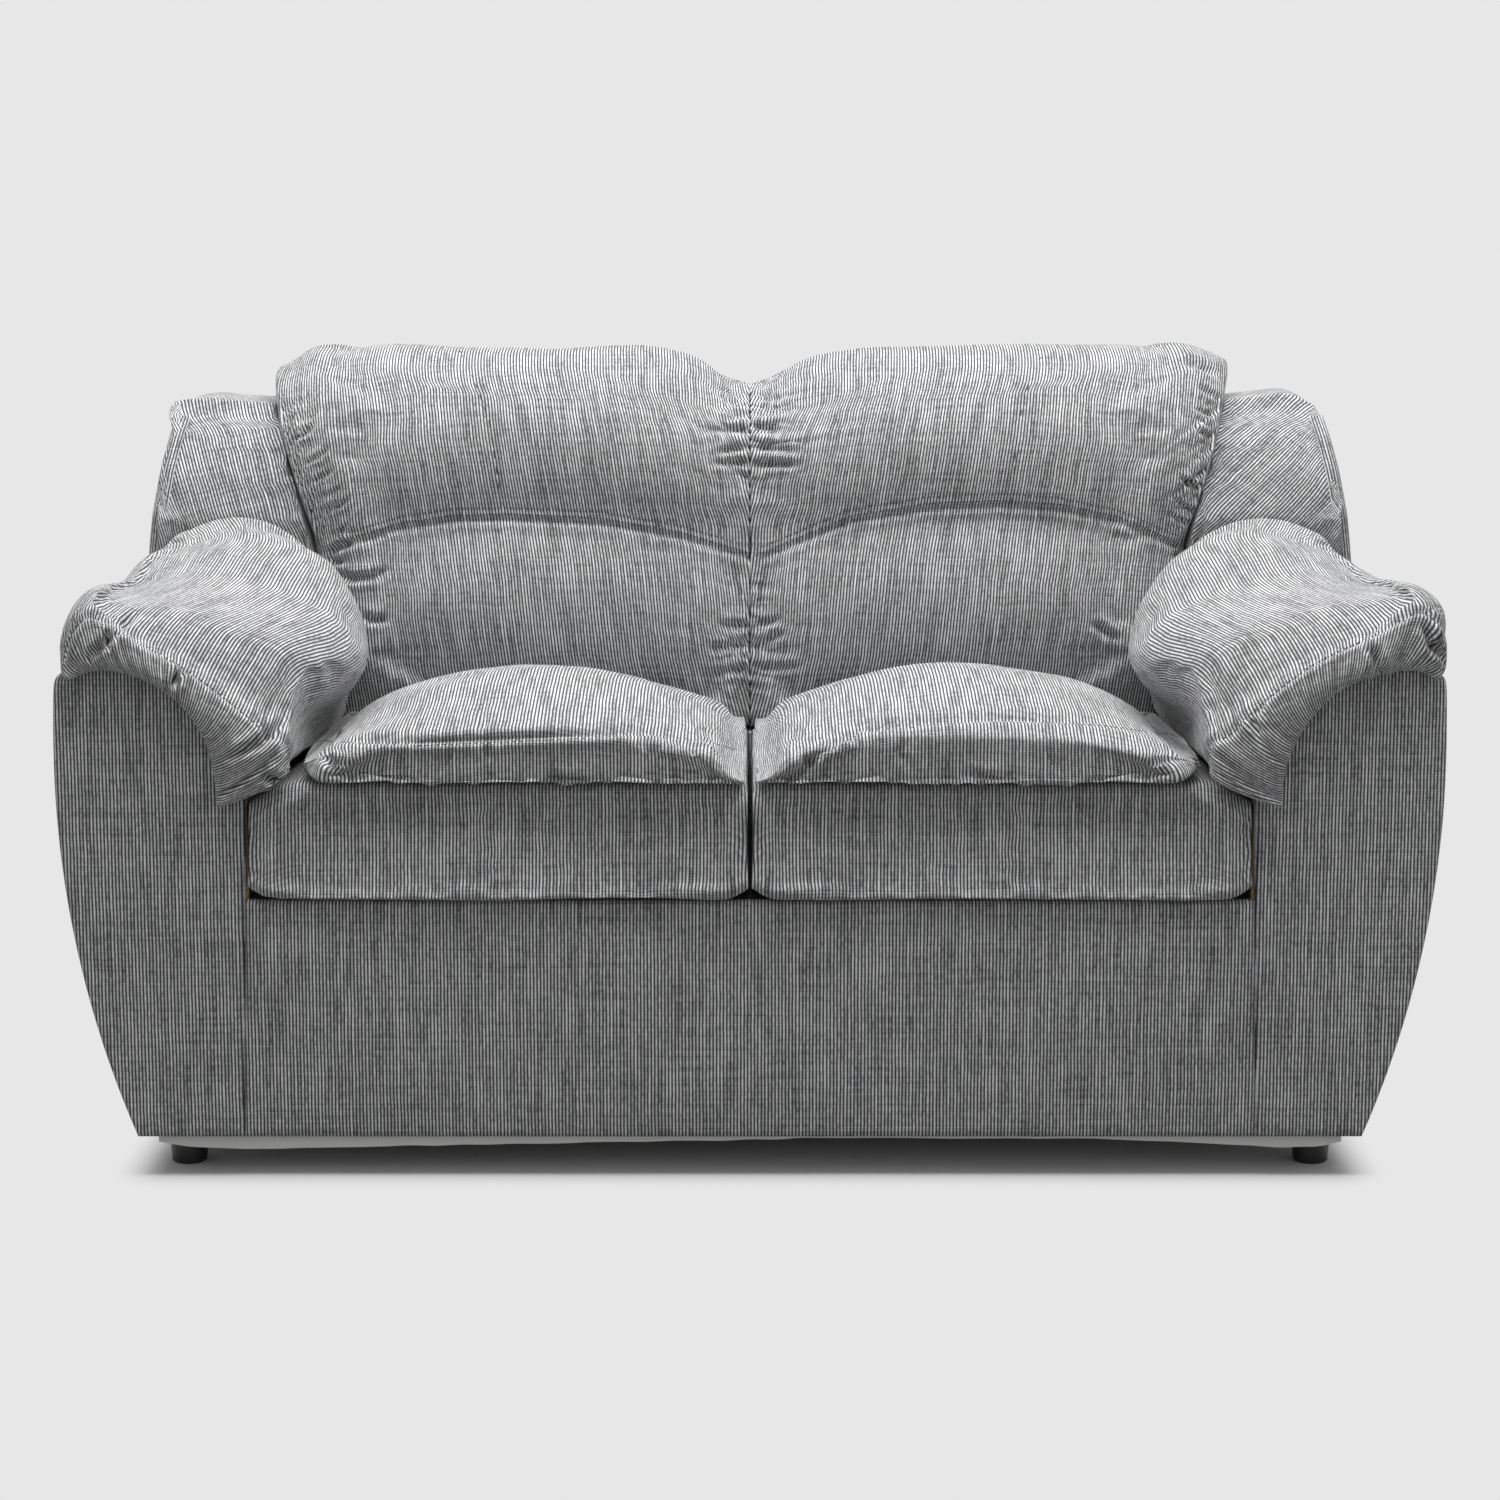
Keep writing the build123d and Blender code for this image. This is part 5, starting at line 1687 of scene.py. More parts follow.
@dataclass
class ArmPillows:
    """The two pillows draped over the arms, each with a gathered band at the front."""

    ends: Pair = (0.003, 0.997)
    sections: int = 46
    counts: Counts = (60, 60, 8)
    marks: Pairs = ((0.25, -1), (1, -0.8), (-1, -0.6))
    top_step: int = 96
    fine: tuple[int, int] = (170, 400)
    roll_rise: float = 0.026
    roll_depth: float = 0.065
    roll_fade: float = 0.16
    held_beyond: int = 12
    seat_side_below: float = 0.60
    edge: Pair = (0.735, 0.03)
    edge_spread: float = 30.0
    edge_out: float = 0.003
    edge_down: float = 0.010
    cloth: Cloth = Cloth(pressure=4, excess=0.03, reach=0.012)
    gathers: tuple[Gather, ...] = (
        Gather(False, 0.0024, reach=0.026, wave=0.030, seed=1, low=0.45),
        Gather(True, 0.002, reach=0.02, wave=0.03, seed=2),
    )
    seam_every: int = 4
    stitch_drop: float = 1.5

    def shape(self) -> Shell:
        """The swollen shell of the right pillow.

        Returns:
            The shell, from the front to the rear.
        """
        shares = np.linspace(*self.ends, self.sections)
        grid = sliced("arm_pad_right", 1, shares, self.marks, self.counts)
        grid = self.rolled(np.roll(grid, self.counts[2] // 2, axis=1))
        shell = Shell.measured(grid, self.sections // 2, self.top_step, True).smoothed(2, 0.4)
        start = shell.grid.copy()
        held = np.zeros(shell.grid.shape[:2])
        held[:, : sum(self.counts) // 2 + self.held_beyond] = 1
        held[0] = held[-1] = 1
        shell = self.cloth.swell(shell, held)
        near_seat = start[..., 2] < self.seat_side_below
        inward = np.minimum(shell.grid[..., 0] - start[..., 0], 0)
        shell.grid[..., 0] -= np.where(near_seat, inward, 0)
        outer = ramp(shell.grid[..., 0], *self.edge)
        steps = shell.grid.shape[1]
        under = np.exp(-((np.arange(steps) - steps / 2) ** 2) / self.edge_spread)
        shell.grid[..., 0] += self.edge_out * outer * under
        shell.grid[..., 2] -= self.edge_down * outer * under
        return shell

    def rolled(self, grid: Array) -> Array:
        """The sections with a top that rolls over the front.

        Args:
            grid: points (sections, steps, 3), which are changed.

        Returns:
            The same grid.
        """
        half = grid.shape[1] // 2
        away = grid[..., 1] - grid[..., 1].min()
        rise = np.sin(math.pi / 2 * ramp(away, 0, self.roll_depth))
        rise = rise * (1 - ramp(away, self.roll_depth, self.roll_fade))
        turn = np.sin(math.pi * (np.arange(grid.shape[1]) - half) / half)
        grid[..., 2] += self.roll_rise * rise * np.clip(turn, 0, 1) ** 0.6
        return grid

    def build(self) -> None:
        """Makes both pillows and their stitches."""
        right = self.shape().refined(*self.fine)
        for side in Side:
            look = ARM_LOOKS[side]
            shell = uneven(right.on(side), depth=0.003, size=0.12, seed=look.seed)
            shell = gathered(shell, self.gathers, look.seed)
            band = Cap(26, 0.017, side.carry, pucker=0.0034, wave=0.036, seed=901 + side.left)
            caps = (band, Cap(8, 0.004, side.carry))
            piece = closed_piece(f"arm_pillow_{side}", shell, caps, WEAVE)
            path = VIEW.pixels(shell.grid[0, look.seam_from : look.seam_to : self.seam_every])
            path = path + sum(pull.move(path) for pull in look.pulls)
            creases = (
                Crease(tuple(map(tuple, path)), depth=0.0036, width=2.8, lip=0.9, taper=0.02),
                *(Crease(fold, 0.0085, width=4.0, lip=0.9, taper=0.22) for fold in look.folds),
                Crease(look.ridge, depth=-0.0042, width=7.0, lip=0.5, taper=0.35),
            )
            pressed(piece, creases, look.pulls)
            settled(piece, "frame", (f"arm_pad_{side}",))
            line = traced(piece, lowered(tuple(map(tuple, path)), self.stitch_drop), 0.0006)
            StitchRun(f"arm_band_stitches_{side}", line, 0.008, 0.005).build("frame")


# ---- wings
@dataclass(frozen=True)
class WingLook:
    """What sets one wing apart in the photograph: its stripes' turn and its pulls."""

    turn: float
    pulls: tuple[Pull, ...]


WING_LOOKS = {
    Side.LEFT: WingLook(
        turn=math.radians(16),
        pulls=(
            Pull((166, 404), (-2, 2), 26), Pull((215, 392), (0, -2), 30),
            Pull((268, 396), (0, 2), 26), Pull((290, 440), (6, 0), 40),
            Pull((308, 510), (6, 0), 40),
        ),
    ),
    Side.RIGHT: WingLook(
        turn=math.radians(-42),
        pulls=(
            Pull((1334, 408), (-10, 8), 30), Pull((1280, 392), (0, -6), 34),
            Pull((1334, 462), (-8, 0), 26), Pull((1214, 440), (-6, 0), 40),
            Pull((1200, 510), (-6, 0), 40),
        ),
    ),
}


@dataclass
class Wings:
    """The padded wings at the ends of the back, whose front edge hoods that of the side."""

    ends: Pair = (0.006, 0.975)
    sections: int = 30
    counts: Counts = (26, 30, 30, 26)
    marks: Pairs = ((-1, -1), (1, -1), (1, 0.7), (-1, 0.7))
    top_step: int = 66
    fine: tuple[int, int] = (112, 280)
    held_short: int = 4
    held_top: float = 0.6
    hood_from: float = 0.600
    hood_rise: float = 0.10
    hood_out: float = 0.0160
    hood_thick: float = 0.008
    hood_clear: float = 0.002
    hood_edge: float = 0.002
    hood_deep: float = 0.010
    inner_dip: float = 0.012
    cloth: Cloth = Cloth(pressure=3, excess=0.006, reach=0.010)

    def shape(self) -> Shell:
        """The swollen shell of the right wing.

        Returns:
            The shell, from its foot up.
        """
        shares = np.linspace(*self.ends, self.sections)
        grid = self.hooded(sliced("wing_pad_right", 2, shares, self.marks, self.counts))
        shell = Shell.measured(grid, self.sections // 2, self.top_step, True).smoothed(2, 0.4)
        held = np.zeros(shell.grid.shape[:2])
        held[:, : sum(self.counts[:2]) - self.held_short] = 1
        held[0] = 1
        held[-1] = self.held_top
        return self.cloth.swell(shell, held)

    def hooded(self, grid: Array) -> Array:
        """The sections with their outer front edge carried over the edge of the side.

        Args:
            grid: points (sections, steps, 3), which are changed.

        Returns:
            The same grid.
        """
        corner = sum(self.counts[:2])
        high = ramp(grid[:, 0, 2], self.hood_from, self.hood_rise)[:, None]
        outer = grid[:, corner - 8, 0][:, None]
        inner = grid[:, corner + self.counts[2], 0][:, None]
        front = grid[..., 1].min(axis=1)[:, None]
        out, thick, clear = self.hood_out, self.hood_thick, self.hood_clear
        turn_x = outer + np.array((0, 0, 0.5 * out, out, out + self.hood_edge, out))
        ahead = (self.hood_deep, -clear, -clear, -clear, -clear - 0.4 * thick, -clear - thick)
        turn_y = front + np.array(ahead)
        share = np.linspace(0, 1, self.counts[2] + 1)[1:-1]
        face_x = outer + out + (inner - outer - out) * share
        dip = np.where(share > 0.5, self.inner_dip * (2 * share - 1) ** 2, 0)
        dip = dip - (clear + thick) * np.clip(1 - 2 * share, 0, 1) ** 1.3
        turn, face = slice(corner - 5, corner + 1), slice(corner + 1, corner + self.counts[2])
        for part, x, y in ((turn, turn_x, turn_y), (face, face_x, front + dip)):
            grid[:, part, 0] += high * (x - grid[:, part, 0])
            grid[:, part, 1] += high * (y - grid[:, part, 1])
        return grid

    def build(self) -> None:
        """Makes both wings."""
        right = self.shape().refined(*self.fine)
        for side in Side:
            look = WING_LOOKS[side]
            shell = uneven(right.on(side), depth=0.0016, size=0.10, seed=320 + side.left)
            caps = (Cap(6, 0.0, side.carry), Cap(12, 0.004, side.carry))
            piece = closed_piece(f"wing_{side}", shell.turned(look.turn), caps, WEAVE)
            pressed(piece, (), look.pulls)
            settled(piece, "frame", (f"wing_pad_{side}",))


# ---- covers
TOP_CORNERS = {
    Side.LEFT: Pull((52, 655), (8, 13), 17),
    Side.RIGHT: Pull((1448, 655), (-5, 15), 17),
}
Faces = tuple[Array, Array, Array]


@dataclass
class Panel:
    """An upright cover: a slightly padded sheet with rolled edges.

    Its inner edge, -1 for the least X and 1 for the most, may be carried on to the rear,
    and its top edge forwards by a flap.
    """

    node: str
    piece: str
    to_rear: bool = False
    inner: int = 0
    rows: int = 130
    columns: int = 62
    ends: Pair = (0.002, 0.998)
    crowding: float = 0.06
    roll: float = 0.006
    puff: float = 0.0025
    puff_reach: float = 0.03
    wave: float = 0.0014
    wave_size: Pair = (0.08, 0.11)
    wave_rise: float = 0.02
    back_y: float = -0.4018
    return_start: float = 0.001
    return_columns: int = 5
    skin: float = 0.0014
    seed: int = 400
    flap: float = 0.0
    flap_start: float = 0.002
    flap_rows: int = 6
    pulls: tuple[Pull, ...] = ()

    def limits(self, heights: Array) -> Array:
        """How far the cover reaches at each height.

        Args:
            heights: the heights.

        Returns:
            Its least X, most X, least Y and most Y, a row each.
        """
        points, triangles = node_triangles(self.node)
        edges = []
        for z in heights:
            loop = section(points, triangles, np.array((0, 0, z)), np.array((0, 0, 1.0)))
            edges.append((loop[:, 0].min(), loop[:, 0].max(), loop[:, 1].min(), loop[:, 1].max()))
        return np.array(edges).T

    def rim_distance(self, run: Array) -> Array:
        """How far each point of the face lies from the face's rim.

        Args:
            run: the face's points (rows, columns, 2).

        Returns:
            Distances (rows, columns).
        """
        rim = rim_of(run)
        flat = run.reshape(-1, 2)
        distance = np.full(len(flat), FAR)
        for a, b in zip(rim, np.roll(rim, -1, axis=0)):
            step = b - a
            size = step @ step
            if size > TINY:
                t = np.clip(((flat - a) @ step) / size, 0, 1)
                beside = np.linalg.norm(flat - a - t[:, None] * step, axis=1)
                distance = np.minimum(distance, beside)
        return distance.reshape(run.shape[:2])

    def faces(self) -> Faces:
        """The cover's face, its back and its cloth coordinates.

        Returns:
            Points of the face and of the back, and the coordinates of both.
        """
        bottom, top = (float(corner[2]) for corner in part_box(self.node))
        share = np.clip(np.linspace(0, 1, self.rows), *self.ends)
        heights = bottom + (top - bottom) * share
        low, high, near, far = self.limits(heights)
        s = np.linspace(0, 1, self.columns)
        s = s - np.sin(2 * math.pi * s) * self.crowding
        x = low[:, None] + (high - low)[:, None] * s[None, :]
        z = np.broadcast_to(heights[:, None], x.shape)
        uv = np.stack([x, z], axis=-1)
        distance = self.rim_distance(uv)
        edge = np.clip(1 - distance / self.roll, 0, 1)
        sunken = self.roll * (1 - np.sqrt(np.clip(1 - edge**2, 0, 1)))
        swell = self.puff * (1 - np.exp(-distance / self.puff_reach))
        wave = self.wave * lattice_noise(x / self.wave_size[0], z / self.wave_size[1], self.seed)
        swell = swell + wave * ramp(distance, 0, self.wave_rise)
        outward, face, back = (1, far, near) if self.to_rear else (-1, near, far)
        front = np.stack([x, face[:, None] + outward * (swell - sunken), z], axis=-1)
        return front, np.stack([x, np.broadcast_to(back[:, None], x.shape), z], axis=-1), uv

    def topped(self, made: Faces) -> Faces:
        """The cover with its top edge carried forwards.

        Args:
            made: its face, its back and their coordinates.

        Returns:
            The three grids with more rows.
        """
        front, rear, uv = made
        ahead = np.linspace(self.flap_start, self.flap, self.flap_rows)[:, None]
        x = np.broadcast_to(front[-1, :, 0], (self.flap_rows, front.shape[1]))
        y = front[-1, :, 1] - ahead
        top = float(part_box(self.node)[1][2])
        skin = np.stack([x, y, np.full(x.shape, top + self.skin)], axis=-1)
        below = np.minimum(y, rear[-1, :, 1])
        lining = np.stack([x, below, np.full(x.shape, top + 0.0003)], axis=-1)
        more = uv[-1] + np.stack([0 * x, np.broadcast_to(ahead, x.shape)], axis=-1)
        return tuple(np.concatenate(pair) for pair in ((front, skin), (rear, lining), (uv, more)))

    def returned(self, made: Faces) -> Faces:
        """The cover with its inner edge carried on to the rear.

        Args:
            made: its face, its back and their coordinates.

        Returns:
            The three grids with more columns.
        """
        front, rear, uv = made
        side = self.inner
        column = 0 if side < 0 else -1
        x, start = front[:, column, 0], front[:, column, 1] + self.return_start
        ys = np.linspace(start, np.full(len(x), self.back_y), self.return_columns, axis=1)
        z = np.broadcast_to(front[:, column, 2:3], ys.shape)
        outer, inner = (
            np.broadcast_to((x + side * out)[:, None], ys.shape) for out in (self.skin, 0.0002)
        )
        skin, lining = np.stack([outer, ys, z], axis=-1), np.stack([inner, ys, z], axis=-1)
        lining[:, 0, 1] = np.maximum(lining[:, 0, 1], rear[:, column, 1] - self.return_start)
        more = np.stack([x[:, None] + side * (ys - ys[:, :1]), z], axis=-1)
        pairs = ((front, skin), (rear, lining), (uv, more))
        if side < 0:
            return tuple(np.concatenate([extra[:, ::-1], base], axis=1) for base, extra in pairs)
        return tuple(np.concatenate([base, extra], axis=1) for base, extra in pairs)

    def build(self) -> None:
        """Makes the cover."""
        made = self.faces()
        if self.inner:
            made = self.returned(made)
        if self.flap:
            made = self.topped(made)
        front, rear, uv = made
        points, faces = two_sided(front, rear)
        back = uv.copy()
        back[:, 0, 0] -= self.roll
        back[:, -1, 0] += self.roll
        back[0, :, 1] -= self.roll
        back[-1, :, 1] += self.roll
        table = np.vstack([uv.reshape(-1, 2), back.reshape(-1, 2)])
        piece = woven_object(self.piece, points, faces, table[faces], WEAVE)
        pressed(piece, (), self.pulls)
        settled(piece, "frame", (self.node,))


@dataclass
class Sides:
    """The covers of the outer sides, which turn round the front edge of each wing."""

    step_height: float = 0.594
    step_gap: float = 0.0004
    end_gap: float = 0.0006
    thickness: float = 0.012
    turn_in: float = 0.0190
    recess: float = 0.0030
    plain_recess: float = 0.006
    set_back: float = 0.0015
    corner: float = 0.010
    plain_corner: float = 0.003
    rows: int = 114
    lower_share: float = 0.66
    counts: Counts = (8, 6, 70, 4, 66, 6, 2)
    top_step: int = 14
    wave: float = 0.0012
    wave_size: Pair = (0.1, 0.12)
    wave_skin: float = 0.001
    seed: int = 611

    def ring(self, bow: float, front: float, rear: float, wrapped: bool) -> Array:
        """One level section of the right cover, from its inner front corner outwards.

        Args:
            bow: the most X.
            front: the least Y.
            rear: the most Y.
            wrapped: whether it turns in round the front edge of the wing.

        Returns:
            Points (sum(counts), 2).
        """
        skin = bow - self.thickness
        reach = bow - self.turn_in if wrapped else skin
        recess = front + (self.recess if wrapped else self.plain_recess)
        turn = self.corner if wrapped else self.plain_corner
        start = (reach, front)
        corners = (
            start, (bow - turn, front), (bow, front + turn), (bow, rear),
            (skin, rear), (skin, recess), (reach, recess), start,
        )
        parts = []
        for number, (a, b, count) in enumerate(zip(corners, corners[1:], self.counts)):
            t = np.linspace(0, 1, count + 1)[:-1, None]
            if number == 1:
                t = t[:, 0] * math.pi / 2
                across = bow - turn + turn * np.sin(t)
                parts.append(np.stack([across, front + turn - turn * np.cos(t)], axis=1))
            else:
                parts.append(np.array(a) * (1 - t) + np.array(b) * t)
        return np.vstack(parts)

    def shape(self) -> Shell:
        """The shell of the right cover.

        Returns:
            The shell, from its foot up.
        """
        points, triangles = node_triangles("side_cover_right")
        low, high = points[:, 2].min(), points[:, 2].max()
        step, gap = self.step_height, self.step_gap
        lower = np.linspace(low, step - gap, int(self.rows * self.lower_share))
        upper = np.linspace(step + gap, high, self.rows - len(lower))
        grid = []
        for z in np.r_[lower, upper]:
            level = min(max(z, low + self.end_gap), high - self.end_gap)
            loop = section(points, triangles, np.array((0, 0, level)), np.array((0, 0, 1.0)))
            wrapped = z > step
            front = loop[:, 1].min() + (self.set_back if wrapped else 0)
            ring = self.ring(loop[:, 0].max(), front, loop[:, 1].max(), wrapped)
            grid.append(np.c_[ring, np.full(len(ring), z)])
        return Shell.measured(np.array(grid), 0, self.top_step, True)

    def build(self) -> None:
        """Makes both covers; the left one starts from the waved right one."""
        shell = self.shape()
        for side in Side:
            dressed = shell.on(side)
            x, y, z = np.moveaxis(dressed.grid, -1, 0)
            seed = self.seed + side.left
            wave = self.wave * lattice_noise(y / self.wave_size[0], z / self.wave_size[1], seed)
            outer = np.abs(x) > np.abs(x).max(axis=1, keepdims=True) - self.wave_skin
            dressed.grid[..., 0] += np.sign(x) * np.abs(wave) * outer
            piece = closed_piece(f"side_panel_{side}", dressed, (Cap(1), Cap(1)), WEAVE)
            pressed(piece, (), (TOP_CORNERS[side],))
            settled(piece, "frame", (f"side_cover_{side}",))


@dataclass
class Cover:
    """A thin cover or pad that shows when a seat is drawn out."""

    node: str
    piece: str
    axis: int = 0
    finish: Finish = WEAVE
    slot: str = "upholstery_weave"
    ends: Pair = (0.001, 0.999)
    sections: int = 60
    counts: Counts = (44, 8, 44, 8)
    marks: Pairs = ((-1, -1), (1, -1), (1, 1), (-1, 1))
    seed: int = 500

    def build(self) -> None:
        """Makes the cover from even sections of its solid."""
        shares = np.linspace(*self.ends, self.sections)
        grid = sliced(self.node, self.axis, shares, self.marks, self.counts)
        shell = uneven(Shell.measured(grid, 0, 0, False), 0.0005, 0.05, self.seed)
        piece = closed_piece(self.piece, shell, (Cap(2), Cap(2)), self.finish)
        settled(piece, "frame", (self.node,))


@dataclass
class DustCloth:
    """The cloth under the base, tacked to its boards, which sags and shows at the front.

    The hem gives, at places across the sofa, how much lower its front edge hangs there.
    """

    columns: int = 130
    rows: int = 50
    sag: float = 0.006
    slack: float = 0.0012
    shown_below: float = 0.0085
    front_reach: float = 0.07
    front_rows: int = 6
    tack_below: float = 0.001
    ripple: float = 0.0007
    ripple_size: float = 0.03
    thick: float = 0.0007
    seed: int = 77
    hem: Pairs = (
        (-0.676, 0.004), (-0.640, 0.010), (-0.580, 0.0122), (-0.500, 0.0110), (-0.390, 0.0088),
        (-0.200, 0.0050), (-0.050, 0.0028), (0.060, 0.0), (0.390, 0.0), (0.520, 0.0060),
        (0.610, 0.0110), (0.650, 0.0100), (0.676, 0.004),
    )

    def build(self) -> None:
        """Makes the cloth."""
        low, high = (np.array(corner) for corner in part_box("dust_cover"))
        along_x = np.linspace(low[0], high[0], self.columns)
        x, y = np.meshgrid(along_x, np.linspace(low[1], high[1], self.rows))
        deep = (y - low[1]) / (high[1] - low[1])
        hem = high[2] - self.shown_below - np.interp(x[0], *zip(*self.hem))
        hem = hem + self.ripple * lattice_noise(x[0] / self.ripple_size, 0 * x[0], self.seed)
        near = np.exp(-deep / self.front_reach)
        under = high[2] - self.slack - self.sag * np.sin(math.pi * deep) ** 0.5
        z = np.minimum(hem * near + under * (1 - near), high[2])
        share = np.linspace(0, 1, self.front_rows + 1)[:-1, None]
        fall = hem - high[2] + self.tack_below
        z = np.vstack([high[2] - self.tack_below + fall * share, z])
        x = np.vstack([np.broadcast_to(x[:1], (self.front_rows, self.columns)), x])
        y = np.vstack([low[1] + self.slack * (1 - share) + 0 * x[: self.front_rows], y])
        front = np.stack([x, y, z], axis=-1)
        points, faces = two_sided(front + (0, self.thick, 0), front - (0, 0, self.thick))
        uv = np.tile(np.stack([x, y], axis=-1).reshape(-1, 2), (2, 1))
        piece = woven_object("dust_cloth", points, faces, uv[faces], DUST_CLOTH)
        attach(piece, "frame")
        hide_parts("dust_cover")


@dataclass
class Covers:
    """The covers of the front, sides and back, the seat deck and the cloth under the base."""

    panel: tuple[int, int] = (64, 140)
    back: tuple[int, int] = (80, 120)
    back_roll: float = 0.003
    back_flap: float = 0.07

    def build(self) -> None:
        """Makes every cover."""
        for side, inner, seed in ((Side.LEFT, 1, 401), (Side.RIGHT, -1, 402)):
            node, piece = f"arm_front_cover_{side}", f"arm_front_{side}"
            Panel(node, piece, inner=inner, seed=seed, pulls=(TOP_CORNERS[side],)).build()
        rows, columns = self.panel
        Panel("apron_cover", "apron", rows=rows, columns=columns, seed=403).build()
        rows, columns = self.back
        Panel(
            "outside_back_cover", "outer_back", True, rows=rows, columns=columns,
            roll=self.back_roll, flap=self.back_flap, seed=404,
        ).build()
        Sides().build()
        counts = (8, 44, 8, 44)
        for side in (Side.LEFT, Side.RIGHT):
            node, piece = f"arm_inner_cover_{side}", f"inner_arm_{side}"
            Cover(node, piece, 1, counts=counts, seed=510).build()
        Cover("inside_back_band", "rear_band", seed=520).build()
        Cover("seat_deck_pad", "seat_deck", 0, DECK, "deck_cloth", seed=530).build()
        roll = Cover("front_edge_roll", "front_roll", 0, DECK, "deck_cloth", seed=540)
        roll.counts = (12, 8, 12, 8)
        roll.build()
        DustCloth().build()


# ---- frame, room and light
@dataclass
class FrameLooks:
    """Finishes of the pieces that keep their solid."""

    finishes: dict[str, Plain] = field(
        default_factory=lambda: {
            "deck_cloth": DECK,
            "foam": Plain("foam", (0.72, 0.66, 0.42), 0.95),
            "webbing": Plain("webbing", (0.46, 0.36, 0.2), 0.9),
            "spring_steel": Plain("spring_steel", (0.16, 0.16, 0.165), 0.35, 1.0),
            "fastener_steel": Plain("fastener_steel", (0.36, 0.36, 0.34), 0.35, 1.0),
            "foot_plastic": Plain("foot_plastic", (0.010, 0.010, 0.011), 0.42),
            "hardboard": Plain("hardboard", (0.11, 0.055, 0.025), 0.7, grain=0.3),
            "plywood": Plain("plywood", (0.42, 0.27, 0.13), 0.65, grain=0.5),
            "pine": Plain("pine", (0.55, 0.36, 0.17), 0.6, grain=0.6),
        }
    )

    def build(self) -> None:
        """Gives each node the finish of its slot."""
        slots = {entry["node"]: entry["material_slot"] for entry in frame["record"]["subparts"]}
        for name, node in frame["nodes"].items():
            finish = self.finishes.get(slots.get(name))
            if finish:
                node.data.materials.clear()
                node.data.materials.append(finish.material())


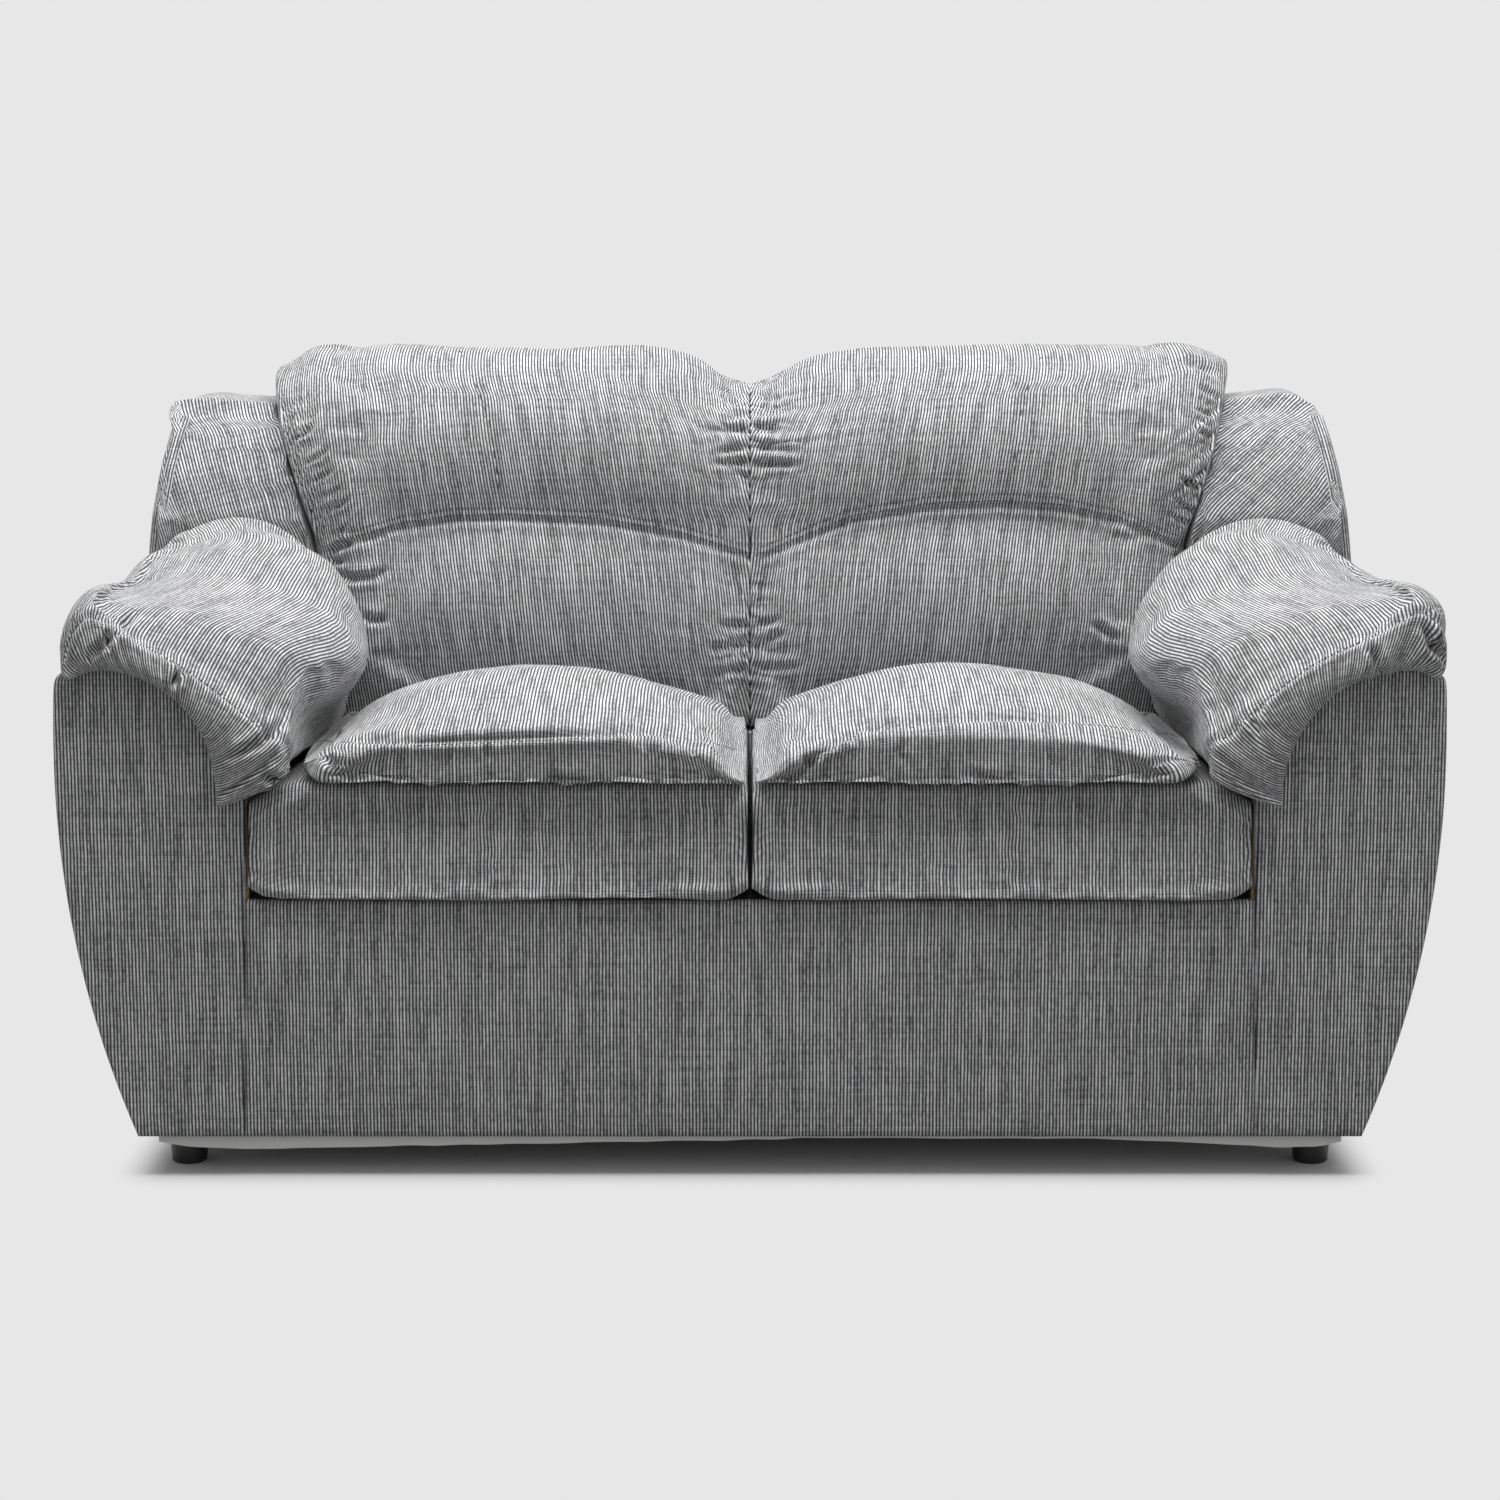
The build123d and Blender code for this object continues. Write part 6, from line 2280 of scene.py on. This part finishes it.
@dataclass
class Studio:
    """Floor, background, light and camera."""

    ground: float = 0.80
    floor_tone: float = 0.81
    floor_bounce: float = 0.23
    floor_radius: float = 14.0
    ambient: float = 0.43
    lamp_power: float = 118.0
    lamp_place: tuple[float, float, float] = (0.0, -0.38, 3.1)
    lamp_turn: tuple[float, float, float] = (-0.03, 0.0, 0.0)
    lamp_size: Pair = (3.4, 2.2)
    foot: Pair = (0.665, 0.415)
    fade: Pair = (0.0, 0.07)

    def build(self) -> None:
        """Sets up everything around the sofa."""
        self.world()
        self.floor()
        self.lamp()
        self.camera()

    def world(self) -> None:
        """A pale background that also fills the shadows."""
        world = bpy.data.worlds.new("studio")
        bpy.context.scene.world = world
        world.use_nodes = True
        world.node_tree.nodes.clear()
        tree = NodeTree(world.node_tree)
        fill, shown = tree.add("ShaderNodeBackground"), tree.add("ShaderNodeBackground")
        for node, strength in ((fill, self.ambient), (shown, self.ground)):
            node.inputs["Color"].default_value = (1, 1, 1, 1)
            node.inputs["Strength"].default_value = strength
        mix = tree.mixed(self.seen(tree), fill.outputs[0], shown.outputs[0])
        tree.link(mix, tree.add("ShaderNodeOutputWorld").inputs[0])

    def seen(self, tree: NodeTree) -> Socket:
        """One for rays that show the background, zero for light on the sofa."""
        path = tree.add("ShaderNodeLightPath").outputs
        seen = tree.math("MAXIMUM", path["Is Camera Ray"], path["Is Transmission Ray"])
        return tree.math("MAXIMUM", seen, path["Is Glossy Ray"])

    def beyond(self, tree: NodeTree) -> Socket:
        """How far the floor has turned into the background, from the sofa's foot outwards.

        Args:
            tree: the floor's nodes.

        Returns:
            A socket with values from 0 to 1.
        """
        place = tree.vector_math("ABSOLUTE", tree.add("ShaderNodeTexCoord").outputs["Object"])
        place = tree.vector_math("SUBTRACT", place, (*self.foot, 0.0))
        place = tree.vector_math("MAXIMUM", place, (0.0, 0.0, 0.0))
        distance = tree.add("ShaderNodeVectorMath", operation="LENGTH")
        tree.link(place, distance.inputs[0])
        span = tree.add("ShaderNodeMapRange", interpolation_type="SMOOTHSTEP")
        tree.link(distance.outputs["Value"], span.inputs["Value"])
        span.inputs["From Min"].default_value, span.inputs["From Max"].default_value = self.fade
        return span.outputs[0]

    def floor(self) -> None:
        """A pale floor that turns into the background further out."""
        bpy.ops.mesh.primitive_circle_add(vertices=96, radius=self.floor_radius, fill_type="NGON")
        plate = bpy.context.object
        plate.name = "floor"
        made = bpy.data.materials.new("floor")
        made.use_nodes = True
        tree = NodeTree(made.node_tree)
        shader = made.node_tree.nodes["Principled BSDF"]
        seen = self.seen(tree)
        extra = self.floor_tone - self.floor_bounce
        tone = tree.math("MULTIPLY_ADD", seen, extra, self.floor_bounce)
        tree.link(tree.vector(tone, tone, tone), shader.inputs["Base Color"])
        shader.inputs["Roughness"].default_value = 1.0
        shader.inputs["Specular IOR Level"].default_value = 0.0
        glow = tree.add("ShaderNodeEmission")
        glow.inputs["Strength"].default_value = self.ground
        shown = tree.math("MULTIPLY", self.beyond(tree), seen)
        mix = tree.mixed(shown, shader.outputs[0], glow.outputs[0])
        tree.link(mix, made.node_tree.nodes["Material Output"].inputs[0])
        plate.data.materials.append(made)

    def lamp(self) -> None:
        """A wide soft lamp above the sofa."""
        light = bpy.data.lights.new("top_light", "AREA")
        light.shape = "RECTANGLE"
        light.size, light.size_y = self.lamp_size
        light.energy = self.lamp_power
        lamp = linked("top_light", light)
        lamp.location, lamp.rotation_euler = self.lamp_place, self.lamp_turn

    def camera(self) -> None:
        """The camera of the photograph."""
        data = bpy.data.cameras.new("camera")
        data.sensor_width = VIEW.sensor_mm
        data.lens = VIEW.lens_mm
        camera = linked("camera", data)
        camera.location = (0, -VIEW.distance, VIEW.height)
        camera.rotation_euler = (math.pi / 2 - VIEW.tilt, 0, 0)
        bpy.context.scene.camera = camera
        bpy.context.scene.view_settings.view_transform = "Standard"


def main() -> None:
    """Builds every sub-assembly and reports it."""
    logging.basicConfig(level=logging.INFO, format="%(name)s: %(message)s")
    parts = (FrameLooks, BackCushions, SeatCushions, ArmPillows, Wings, Covers, Studio)
    for part in parts:
        part().build()
        log.info("%s done", part.__name__)


if __name__ == "__main__":
    main()
